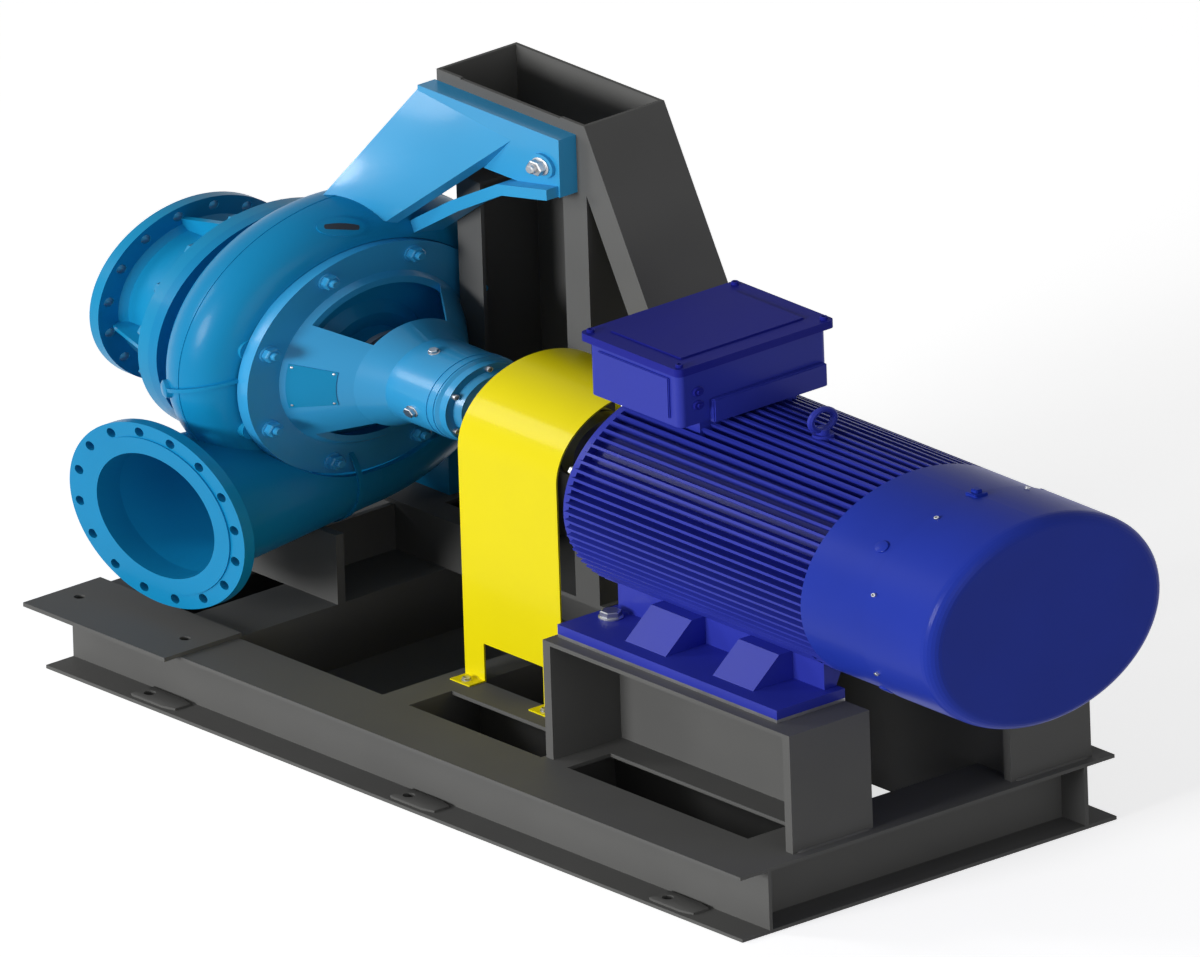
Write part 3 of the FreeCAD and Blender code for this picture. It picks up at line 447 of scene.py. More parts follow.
class Forms:
    """Mesh makers that the sub-assemblies share."""

    @staticmethod
    def stand(point: Sequence[float], axis: Sequence[float]) -> Matrix:
        """The place of a form that stands on a point.

        Args:
            point: where its origin goes.
            axis: where its +Z goes.

        Returns:
            The place.
        """
        return Matrix.Translation(point) @ Vector(axis).to_track_quat("Z", "Y").to_matrix().to_4x4()

    @staticmethod
    def lathe(mesh: Mesh, profile: Profile, where: Matrix, steps: int) -> None:
        """Turn a profile of (radius, height) pairs about +Z.

        Args:
            mesh: the mesh to add to.
            profile: the profile, from one end of the axis to the other.
            where: the place of the turned form.
            steps: the number of sides.
        """
        turn = 2 * math.pi / steps
        rings = []
        for radius, height in profile:
            if radius < SPECK:
                rings.append([mesh.verts.new(where @ Vector((0, 0, height)))])
                continue
            ring = []
            for i in range(steps):
                point = Vector((radius * math.cos(i * turn), radius * math.sin(i * turn), height))
                ring.append(mesh.verts.new(where @ point))
            rings.append(ring)
        for low, high in zip(rings, rings[1:]):
            for i in range(steps):
                j = (i + 1) % steps
                if len(low) == 1:
                    mesh.faces.new((low[0], high[i], high[j]))
                elif len(high) == 1:
                    mesh.faces.new((low[i], high[0], low[j]))
                else:
                    mesh.faces.new((low[i], high[i], high[j], low[j]))

    @classmethod
    def fastener(cls, mesh: Mesh, head: Head, size: float, point: Vector, axis: Sequence[float]) -> None:
        """One bolt head, nut on a stud, or socket screw, with its washer.

        Args:
            mesh: the mesh to add to.
            head: the kind.
            size: the thread's diameter.
            point: the seat's centre on the surface.
            axis: the way out of the surface.
        """
        where = cls.stand(point, axis)
        if head is Head.SOCKET:
            rim, tall, hollow = 0.78 * size, 0.9 * size, 0.42 * size
            crown = [(0.0, 0.0), (rim, 0.0), (rim, tall * 0.88), (rim * 0.9, tall), (hollow, tall)]
            cls.lathe(mesh, crown, where, 20)
            cls.lathe(mesh, [(hollow, tall), (0.40 * size, tall * 0.45), (0.0, tall * 0.4)], where, 6)
            return
        rim, washer, flat = 1.05 * size, 0.16 * size, 0.92 * size
        ring = [(0.0, 0.0), (rim, 0.0), (rim, washer * 0.8), (size, washer), (0.0, washer)]
        cls.lathe(mesh, ring, where, 24)
        tall = washer + 0.68 * size
        hexagon = [(0.0, washer), (flat, washer), (flat, tall * 0.9), (flat * 0.86, tall), (0.0, tall)]
        cls.lathe(mesh, hexagon, where, 6)
        if head is Head.STUD:
            end, thread = tall + 0.45 * size, 0.5 * size
            stud = [(thread, tall * 0.98), (thread, end - 0.1 * size), (0.4 * size, end), (0.0, end)]
            cls.lathe(mesh, stud, where, 16)

    @staticmethod
    def slab(mesh: Mesh, low: Point, high: Point, edge: float) -> None:
        """A block with bevelled edges between two corners.

        Args:
            mesh: the mesh to add to.
            low: the lowest corner.
            high: the highest corner.
            edge: the width of the bevel.
        """
        size = Vector(high) - Vector(low)
        middle = (Vector(high) + Vector(low)) / 2
        where = Matrix.Translation(middle) @ Matrix.Diagonal((*size, 1.0))
        made = bmesh.ops.create_cube(mesh, size=1.0, matrix=where)
        edges = list(dict.fromkeys(side for corner in made["verts"] for side in corner.link_edges))
        bmesh.ops.bevel(mesh, geom=edges, offset=edge, segments=2, affect="EDGES")

    @staticmethod
    def patch(mesh: Mesh, rows: int, columns: int, surface: Skin, thick: float, sunk: float = 0.001) -> None:
        """A thin plate that lies on a curved surface.

        Args:
            mesh: the mesh to add to.
            rows: divisions along the first parameter.
            columns: divisions along the second.
            surface: gives a point and its outward normal for two shares from 0 to 1.
            thick: how far its face stands off the surface.
            sunk: how far its back lies under the surface.
        """
        layers = []
        for lift in (-sunk, thick):
            grid = []
            for i in range(rows + 1):
                line = []
                for j in range(columns + 1):
                    point, normal = surface(i / rows, j / columns)
                    line.append(mesh.verts.new(point + normal * lift))
                grid.append(line)
            layers.append(grid)
        low, high = layers
        for i in range(rows):
            for j in range(columns):
                mesh.faces.new((high[i][j], high[i + 1][j], high[i + 1][j + 1], high[i][j + 1]))
                mesh.faces.new((low[i][j], low[i][j + 1], low[i + 1][j + 1], low[i + 1][j]))
        rim = [(i, 0) for i in range(rows + 1)] + [(rows, j) for j in range(1, columns + 1)]
        rim += [(i, columns) for i in range(rows - 1, -1, -1)] + [(0, j) for j in range(columns - 1, 0, -1)]
        for (a, b), (c, d) in zip(rim, rim[1:] + rim[:1]):
            mesh.faces.new((low[a][b], low[c][d], high[c][d], high[a][b]))

    @staticmethod
    def weld(mesh: Mesh, start: Point, end: Point, out: Point, leg: float = 0.007) -> None:
        """A fillet weld's rippled bead along a line.

        Args:
            mesh: the mesh to add to.
            start: one end of the joint's corner line.
            end: the other end.
            out: the way out of the corner, between its two faces.
            leg: the weld's leg length.
        """
        a, b = Vector(start), Vector(end)
        along = (b - a).normalized()
        face = Vector(out).normalized()
        side = along.cross(face)
        count = max(4, int((b - a).length / (leg * 1.6)))
        previous: list[bmesh.types.BMVert] = []
        for i in range(count + 1):
            centre = a + (b - a) * i / count
            swell = 1.0 + 0.12 * (1 if i % 2 else -1)
            if i in (0, count):
                swell = 0.55
            line = []
            for k in range(5):
                turn = math.radians(-90 + 45 * k)
                rise = face * math.cos(turn) * leg * 0.85 * swell
                reach = rise + side * math.sin(turn) * leg * 0.95 * swell
                line.append(mesh.verts.new(centre + reach - face * leg * 0.1))
            for k in range(4):
                if previous:
                    mesh.faces.new((previous[k], previous[k + 1], line[k + 1], line[k]))
            previous = line


class Workshop:
    """Turns finished meshes into pieces that ride on the set."""

    def __init__(self, frame: dict, palette: Palette) -> None:
        """Keep what every sub-assembly needs.

        Args:
            frame: the loaded solids.
            palette: the finishes.
        """
        self.nodes: dict[str, bpy.types.Object] = frame["nodes"]
        self.palette = palette

    def paint_nodes(self, finish: str, names: Iterable[str]) -> None:
        """Give solids a finish.

        Args:
            finish: the material's name.
            names: the solids' names.
        """
        for name in names:
            node = self.nodes[name]
            if not node.material_slots:
                node.data.materials.append(self.palette[finish])
            for place in node.material_slots:
                place.material = self.palette[finish]
            LOG.info("solid %s takes %s", name, finish)

    def piece(self, name: str, build: Build, finish: str, slot: str, smooth: float = 35.0) -> None:
        """Make one piece and fix it to the set.

        Args:
            name: the piece's name.
            build: fills the piece's mesh.
            finish: the material's name.
            slot: the record's material slot; not used.
            smooth: faces that meet at less than this angle are shaded smooth, in degrees.
        """
        mesh = bmesh.new()
        build(mesh)
        bmesh.ops.recalc_face_normals(mesh, faces=mesh.faces)
        data = bpy.data.meshes.new(name)
        for face in mesh.faces:
            face.smooth = True
        for edge in mesh.edges:
            if len(edge.link_faces) == 2 and edge.calc_face_angle(0.0) > math.radians(smooth):
                edge.smooth = False
        mesh.to_mesh(data)
        mesh.free()
        made = bpy.data.objects.new(name, data)
        bpy.context.scene.collection.objects.link(made)
        data.materials.append(self.palette[finish])
        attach(made, BODY)
        LOG.info("piece %s rides on %s", name, BODY)


@dataclass
class ShaftLine:
    """The line that pump and motor share, with helpers to place things round it."""

    y: float = 0.060
    z: float = 0.870

    def around(self, x: float, radius: float, degrees: float) -> Vector:
        """A point round the line.

        Args:
            x: its place along the line.
            radius: its distance from the line.
            degrees: 0 is towards the tower and 90 is up.

        Returns:
            The point.
        """
        a = math.radians(degrees)
        return Vector((x, self.y + radius * math.cos(a), self.z + radius * math.sin(a)))

    def outward(self, degrees: float) -> Vector:
        """The way out from the line at an angle."""
        a = math.radians(degrees)
        return Vector((0, math.cos(a), math.sin(a)))


@dataclass(frozen=True)
class BoltRing:
    """Fasteners spread evenly round the shaft line, pointing away from it if no facing is given."""

    head: Head
    size: float
    count: int
    x: float
    radius: float
    facing: Facing | None = None

    def about(self, line: ShaftLine) -> Build:
        """Put the ring round a line.

        Args:
            line: the line.

        Returns:
            The builder of its mesh.
        """
        def build(mesh: Mesh) -> None:
            """Add the fasteners to a mesh."""
            for degrees in evenly(self.count):
                axis = self.facing.value if self.facing else line.outward(degrees)
                Forms.fastener(mesh, self.head, self.size, line.around(self.x, self.radius, degrees), axis)

        return build


@dataclass
class Baseframe:
    """Black beams, channels, pedestals, stool and tower, with their welds and anchor washers."""

    shop: Workshop
    beam_y: float = 0.409
    beam_web: float = 0.008
    flange_top: float = 0.010
    top_z: float = 0.194
    anchor_y: float = 0.446
    anchor_step: float = 0.770
    washer_reach: Pair = (0.026, 0.098)
    washer_width: float = 0.056
    washer_thick: float = 0.007
    washer_hole: float = 0.012
    washer_lip: float = 0.001
    washer_bevel: float = 0.0015
    washer_sides: int = 32
    pedestal_x: Pair = (0.277, 1.010)
    pedestal_sides: tuple[Pair, ...] = ((-0.326, -0.119), (0.239, 0.446))
    pedestal_edge: float = 0.010
    channel_faces: tuple[tuple[float, int], ...] = ((-0.788, -1), (-0.632, 1), (-0.123, 1), (0.270, -1))
    flange_room: float = 0.014

    def dress(self) -> None:
        """Paint the steelwork and add its welds and washers."""
        steelwork = ("base_", "pipe_", "motor_pedestal", "tower_", "pump_stool")
        names = [name for name in self.shop.nodes if name.startswith(steelwork)]
        self.shop.paint_nodes("black_frame_paint", names)
        self.shop.paint_nodes("packer_steel", ["motor_packers"])
        self.shop.piece("anchor_washers", self.anchor_washers, "black_frame_paint", "frame_black")
        self.shop.piece("pedestal_welds", self.pedestal_welds, "black_frame_paint", "frame_black", 60.0)
        self.shop.piece("beam_welds", self.beam_welds, "black_frame_paint", "frame_black", 60.0)

    def anchor_washers(self, mesh: Mesh) -> None:
        """Oblong washer plates with an open hole near one end, on the outer lower flanges.

        Args:
            mesh: the mesh to fill.
        """
        for side in (-1, 1):
            for step in (-1, 0, 1):
                self.washer(mesh, Vector((step * self.anchor_step, side * self.anchor_y, self.flange_top)))

    def washer(self, mesh: Mesh, hole: Vector) -> None:
        """One washer plate.

        Args:
            mesh: the mesh to fill.
            hole: the hole's centre on the flange.
        """
        back, front = self.washer_reach
        half, thick, sides = self.washer_width / 2, self.washer_thick, self.washer_sides
        outer, inner = [], []
        for i in range(sides):
            a = 2 * math.pi * i / sides
            c, d = math.cos(a), math.sin(a)
            far = min((front if c > 0 else back) / max(abs(c), SPECK), half / max(abs(d), SPECK))
            outer.append((far * c, far * d))
            inner.append((self.washer_hole * c, self.washer_hole * d))
        crown = 1 - self.washer_bevel / half
        layers = (
            (outer, 1.0, 0.0),
            (outer, 1.0, thick - self.washer_lip),
            (outer, crown, thick),
            (inner, 1.0, thick),
            (inner, 1.0, 0.0),
        )
        rings = []
        for outline, pull, height in layers:
            rings.append([mesh.verts.new(hole + Vector((x * pull, y * pull, height))) for x, y in outline])
        for low, high in zip(rings, rings[1:] + rings[:1]):
            for i in range(sides):
                j = (i + 1) % sides
                mesh.faces.new((low[i], low[j], high[j], high[i]))

    def pedestal_welds(self, mesh: Mesh) -> None:
        """Welds along the feet of the motor pedestals' end plates.

        Args:
            mesh: the mesh to fill.
        """
        edge, z = self.pedestal_edge, self.top_z
        for low, high in self.pedestal_sides:
            for x, out in zip(self.pedestal_x, (-1, 1)):
                Forms.weld(mesh, (x, low + edge, z), (x, high - edge, z), (out, 0, 1))

    def beam_welds(self, mesh: Mesh) -> None:
        """Upright welds where channels and end beams meet the long beams' webs.

        Args:
            mesh: the mesh to fill.
        """
        inner = self.beam_y - self.beam_web / 2
        low, high = self.flange_room, self.top_z - self.flange_room
        for x, out in self.channel_faces:
            for side in (-1, 1):
                Forms.weld(mesh, (x, side * inner, low), (x, side * inner, high), (out, -side, 0))


@dataclass
class Volute:
    """The spiral casing with its branches, arm and fittings."""

    shop: Workshop
    line: ShaftLine
    x: float = -0.788
    inside: float = 0.205
    first: float = 0.088
    growth: float = 0.057
    power: float = 1.3
    start: float = 235.0
    sweep: float = 325.0
    suction_bolts: BoltRing = BoltRing(Head.HEX, 0.020, 16, -0.985, 0.300, Facing.PUMP)
    boss_x: Pair = (-0.764, -0.6905)
    boss_place: float = 0.307
    boss_radius: float = 0.030
    boss_edge: float = 0.006
    boss_count: int = 8
    branch_z: float = 0.520
    branch_radius: float = 0.1455
    branch_growth: float = 0.114
    pad_turn: Point = (140.5, 7.0, -2.0)
    pad_lean: Point = (49.5, 13.0, 12.0)
    pad_thick: float = 0.004
    slot_thick: float = 0.0046
    slot_size: float = 0.72
    slot_width: float = 0.45
    band_arc: Pair = (-70.0, 130.0)
    band_y: Pair = (-0.010, 0.012)
    band_thick: float = 0.004
    seam_turn: Pair = (12.0, 190.0)
    seam_lean: Pair = (-1.2, 2.4)
    seam_thick: float = 0.0015
    lug_place: Pair = (52.0, -30.0)
    lug_sunk: float = 0.006
    lug_radius: float = 0.026
    lug_tall: float = 0.018
    rib_lean: Pair = (-22.0, 98.0)
    rib_climb: float = 9.0
    rib_width: float = 1.6
    rib_thick: float = 0.009
    arm_studs: tuple[tuple[float, Point], ...] = (
        (0.024, (-0.326, 0.222, 1.509)),
        (0.022, (-0.655, 0.230, 1.458)),
    )

    def section(self, turn: float) -> float:
        """The section's radius after a turn in degrees."""
        return self.first + self.growth * (turn / self.sweep) ** self.power

    def skin(self, turn: float, lean: float) -> Seat:
        """A point on the casing's outside.

        Args:
            turn: degrees from the cutwater.
            lean: the place round the section: 0 is outermost and 90 faces the motor.

        Returns:
            The point and its outward normal.
        """
        radius = self.section(turn)
        a, b = math.radians(self.start - turn), math.radians(lean)
        out = Vector((0, math.cos(a), math.sin(a)))
        normal = out * math.cos(b) + Vector((math.sin(b), 0, 0))
        centre = self.line.around(self.x, self.inside + radius, self.start - turn)
        return centre + normal * radius, normal

    def dress(self) -> None:
        """Paint the wet end and add its bolts, pad, bosses, beads and lug."""
        # The casing, branch and foot take the shaded copy of the pump blue and the arm the lit copy: painted
        # shade and painted light.
        self.shop.paint_nodes("shaded_blue_casing_paint", ["volute_casing", "discharge_branch", "casing_foot"])
        self.shop.paint_nodes("mid_shaded_blue_suction_paint", ["suction_cover"])
        self.shop.paint_nodes("lit_blue_bracket_paint", ["casing_arm"])
        self.shop.paint_nodes("cast_impeller_steel", ["impeller"])
        bolts = self.suction_bolts.about(self.line)
        self.shop.piece("suction_ring_bolts", bolts, "mid_shaded_blue_suction_paint", "pump_blue")
        self.shop.piece("casing_top_pad", self.top_pad, "shaded_blue_casing_paint", "pump_blue")
        # The dark sheet on the pad is painted shade in place of a recess.
        self.shop.piece("casing_slot_shade", self.top_slot, "painted_recess_shade", "pump_blue")
        self.shop.piece("casing_stud_bosses", self.bosses, "mid_shaded_blue_suction_paint", "pump_blue")
        self.shop.piece("branch_band", self.branch_band, "shaded_blue_casing_paint", "pump_blue")
        self.shop.piece("casing_seam", self.seam, "shaded_blue_casing_paint", "pump_blue", 60.0)
        self.shop.piece("casing_side_lug", self.side_lug, "shaded_blue_casing_paint", "pump_blue")
        self.shop.piece("arm_bolts", self.arm_bolts, "plated_bolt_steel", "bright_steel")

    def oval(self, s: float, t: float, size: float) -> Seat:
        """A point of an oval that leans across the casing's crown.

        Args:
            s: share from one end to the other.
            t: share from one side to the other.
            size: the oval's share of the whole pad.

        Returns:
            The point and its outward normal.
        """
        u, v = 2 * s - 1, 2 * t - 1
        across, down = u * math.sqrt(1 - v * v / 2) * size, v * math.sqrt(1 - u * u / 2) * size
        turn, lean = (at + a * across + b * down for at, a, b in (self.pad_turn, self.pad_lean))
        return self.skin(turn, lean)

    def top_pad(self, mesh: Mesh) -> None:
        """A shallow oval pad near the crown of the casing.

        Args:
            mesh: the mesh to fill.
        """
        Forms.patch(mesh, 20, 14, lambda s, t: self.oval(s, t, 1.0), self.pad_thick)

    def top_slot(self, mesh: Mesh) -> None:
        """A dark sheet in the pad's middle: painted shade that stands in for a recess.

        Args:
            mesh: the mesh to fill.
        """
        def skin(s: float, t: float) -> Seat:
            """A point of the recess."""
            return self.oval(s, 0.5 + self.slot_width * (t - 0.5), self.slot_size)

        Forms.patch(mesh, 16, 8, skin, self.slot_thick)

    def bosses(self, mesh: Mesh) -> None:
        """Stud bosses that stand out round the casing's front ring.

        Args:
            mesh: the mesh to fill.
        """
        start, end = self.boss_x
        r, edge, long = self.boss_radius, self.boss_edge, end - start
        profile = [(0.0, 0.0), (r - edge, 0.0), (r, edge), (r, long), (0.0, long)]
        for degrees in evenly(self.boss_count):
            seat = self.line.around(start, self.boss_place, degrees)
            Forms.lathe(mesh, profile, Forms.stand(seat, Facing.MOTOR.value), 40)

    def branch_band(self, mesh: Mesh) -> None:
        """The raised bead where the discharge branch leaves the casing.

        Args:
            mesh: the mesh to fill.
        """
        def skin(s: float, t: float) -> Seat:
            """A point on the branch's side."""
            a = math.radians(self.band_arc[0] + self.band_arc[1] * s)
            y = self.band_y[0] + self.band_y[1] * t
            radius = self.branch_radius + self.branch_growth * (self.line.y - y)
            out = Vector((math.cos(a), 0, math.sin(a)))
            return Vector((self.x, y, self.branch_z)) + out * radius, out

        Forms.patch(mesh, 48, 3, skin, self.band_thick)

    def seam(self, mesh: Mesh) -> None:
        """The parting line's low bead along the casing's outermost line.

        Args:
            mesh: the mesh to fill.
        """
        def skin(s: float, t: float) -> Seat:
            """A point beside the parting line."""
            lean = self.seam_lean[0] + self.seam_lean[1] * t
            return self.skin(self.seam_turn[0] + self.seam_turn[1] * s, lean)

        Forms.patch(mesh, 90, 2, skin, self.seam_thick)

    def side_lug(self, mesh: Mesh) -> None:
        """The eye lug on the casing's near side, with its horizontal rib.

        Args:
            mesh: the mesh to fill.
        """
        turn, lean = self.lug_place
        point, normal = self.skin(turn, lean)
        where = Forms.stand(point - normal * self.lug_sunk, normal)
        r, tall = self.lug_radius, self.lug_tall
        profile = [(0.0, 0.0), (r, 0.0), (r - 0.002, tall - 0.004), (r - 0.010, tall), (0.0, tall)]
        Forms.lathe(mesh, profile, where, 28)

        def skin(s: float, t: float) -> Seat:
            """A point under the rib."""
            place = turn + self.rib_climb * t + self.rib_width * s
            return self.skin(place, self.rib_lean[0] + self.rib_lean[1] * t)

        Forms.patch(mesh, 3, 24, skin, self.rib_thick)

    def arm_bolts(self, mesh: Mesh) -> None:
        """Nuts on studs on the arm's flange.

        Args:
            mesh: the mesh to fill.
        """
        for size, place in self.arm_studs:
            Forms.fastener(mesh, Head.STUD, size, Vector(place), Facing.NEAR.value)


@dataclass
class BearingLine:
    """The bearing bracket, housing, seal and shafts."""

    shop: Workshop
    line: ShaftLine
    flange_nuts: BoltRing = BoltRing(Head.STUD, 0.022, 8, -0.660, 0.290, Facing.MOTOR)
    housing_radius: float = 0.117
    cap_screws: BoltRing = BoltRing(Head.SOCKET, 0.010, 6, -0.316, 0.101, Facing.MOTOR)
    cone_ends: tuple[Pair, ...] = ((-0.660, 0.243), (-0.545, 0.150))
    plate_x: Pair = (-0.650, -0.572)
    plate_arc: Pair = (163.0, 32.0)
    plate_thick: float = 0.002
    rivet_inset: Pair = (0.006, 2.0)
    rivet_sunk: float = 0.0002
    plug_places: tuple[Point, ...] = ((-0.412, 190.0, 0.016), (-0.440, 105.0, 0.012))
    plug_sunk: float = 0.001
    band_x: Pair = (-0.372, -0.352)
    band_width: float = 0.007
    band_rise: float = 0.002

    def cone(self, x: float, degrees: float) -> Seat:
        """A point on the bracket's cone.

        Args:
            x: its place along the shaft.
            degrees: its place round it.

        Returns:
            The point and its outward normal.
        """
        (x0, r0), (x1, r1) = self.cone_ends
        fall = (r1 - r0) / (x1 - x0)
        out = self.line.outward(degrees)
        normal = (out - Vector((fall, 0, 0))).normalized()
        return self.line.around(x, r0 + fall * (x - x0), degrees), normal

    def dress(self) -> None:
        """Paint the bearing bracket and add its bolts, plate and plugs."""
        # The bracket, housing and cap take the lit copy of the pump blue and the cover the shaded copy:
        # painted light and painted shade.
        self.shop.paint_nodes("lit_blue_bracket_paint", ["bearing_bracket", "bearing_housing", "bearing_cap"])
        self.shop.paint_nodes("shaded_blue_casing_paint", ["casing_cover"])
        self.shop.paint_nodes("cast_impeller_steel", ["seal_gland"])
        self.shop.paint_nodes("bright_shaft_steel", ["pump_shaft", "shaft_bearings"])
        nuts, screws = self.flange_nuts.about(self.line), self.cap_screws.about(self.line)
        self.shop.piece("bracket_bolts", nuts, "lit_blue_bracket_paint", "pump_blue")
        self.shop.piece("bearing_cap_screws", screws, "plated_bolt_steel", "bright_steel")
        self.shop.piece("bare_name_plate", self.name_plate, "mid_shaded_blue_suction_paint", "pump_blue")
        self.shop.piece("name_plate_rivets", self.rivets, "plated_bolt_steel", "bright_steel")
        self.shop.piece("housing_plugs", self.plugs, "plated_bolt_steel", "bright_steel")
        self.shop.piece("housing_band", self.band, "lit_blue_bracket_paint", "pump_blue")

    def name_plate(self, mesh: Mesh) -> None:
        """A bare plate on the bracket's near arm.

        Args:
            mesh: the mesh to fill.
        """
        def skin(s: float, t: float) -> Seat:
            """A point under the plate."""
            low, high = self.plate_x
            return self.cone(low + (high - low) * s, self.plate_arc[0] + self.plate_arc[1] * t)

        Forms.patch(mesh, 6, 12, skin, self.plate_thick)

    def rivets(self, mesh: Mesh) -> None:
        """Four rivets in the plate's corners.

        Args:
            mesh: the mesh to fill.
        """
        along, round_by = self.rivet_inset
        start, sweep = self.plate_arc
        profile = [(0.0034, 0.0), (0.003, 0.0012), (0.0016, 0.002), (0.0, 0.0023)]
        for x in (self.plate_x[0] + along, self.plate_x[1] - along):
            for degrees in (start + round_by, start + sweep - round_by):
                point, normal = self.cone(x, degrees)
                seat = point + normal * (self.plate_thick - self.rivet_sunk)
                Forms.lathe(mesh, profile, Forms.stand(seat, normal), 12)

    def plugs(self, mesh: Mesh) -> None:
        """The oil plug and level plug on the housing's near side.

        Args:
            mesh: the mesh to fill.
        """
        for x, degrees, size in self.plug_places:
            point = self.line.around(x, self.housing_radius - self.plug_sunk, degrees)
            Forms.fastener(mesh, Head.HEX, size, point, self.line.outward(degrees))

    def band(self, mesh: Mesh) -> None:
        """Two low rings near the housing's motor end.

        Args:
            mesh: the mesh to fill.
        """
        where = Forms.stand((0, self.line.y, self.line.z), Facing.MOTOR.value)
        low, high = self.housing_radius - self.band_rise, self.housing_radius + self.band_rise
        for x in self.band_x:
            end = x + self.band_width
            Forms.lathe(mesh, [(low, x), (high, x + 0.001), (high, end - 0.001), (low, end)], where, 72)


@dataclass
class Coupling:
    """The coupling, the motor's shaft and the yellow guard."""

    shop: Workshop
    line: ShaftLine
    guard_x: Pair = (-0.172, 0.120)
    guard_radius: float = 0.205
    foot_z: float = 0.198
    foot_bolt_size: float = 0.010
    foot_bolt_inset: float = 0.029
    foot_bolt_out: float = 0.022

    def dress(self) -> None:
        """Paint the guard and coupling and add the foot bolts."""
        self.shop.paint_nodes("yellow_guard_paint", ["coupling_guard"])
        self.shop.paint_nodes("coupling_iron", ["coupling_half_pump", "coupling_half_motor"])
        self.shop.paint_nodes("black_gland_rubber", ["coupling_element"])
        self.shop.paint_nodes("bright_shaft_steel", ["motor_shaft"])
        self.shop.piece("guard_foot_bolts", self.foot_bolts, "plated_bolt_steel", "bright_steel")

    def foot_bolts(self, mesh: Mesh) -> None:
        """A bolt in each of the guard's feet.

        Args:
            mesh: the mesh to fill.
        """
        near = self.line.y - self.guard_radius - self.foot_bolt_out
        far = self.line.y + self.guard_radius - self.foot_bolt_out
        for x in (self.guard_x[0] + self.foot_bolt_inset, self.guard_x[1] - self.foot_bolt_inset):
            for y in (near, far):
                place = Vector((x, y, self.foot_z))
                Forms.fastener(mesh, Head.HEX, self.foot_bolt_size, place, Facing.UP.value)


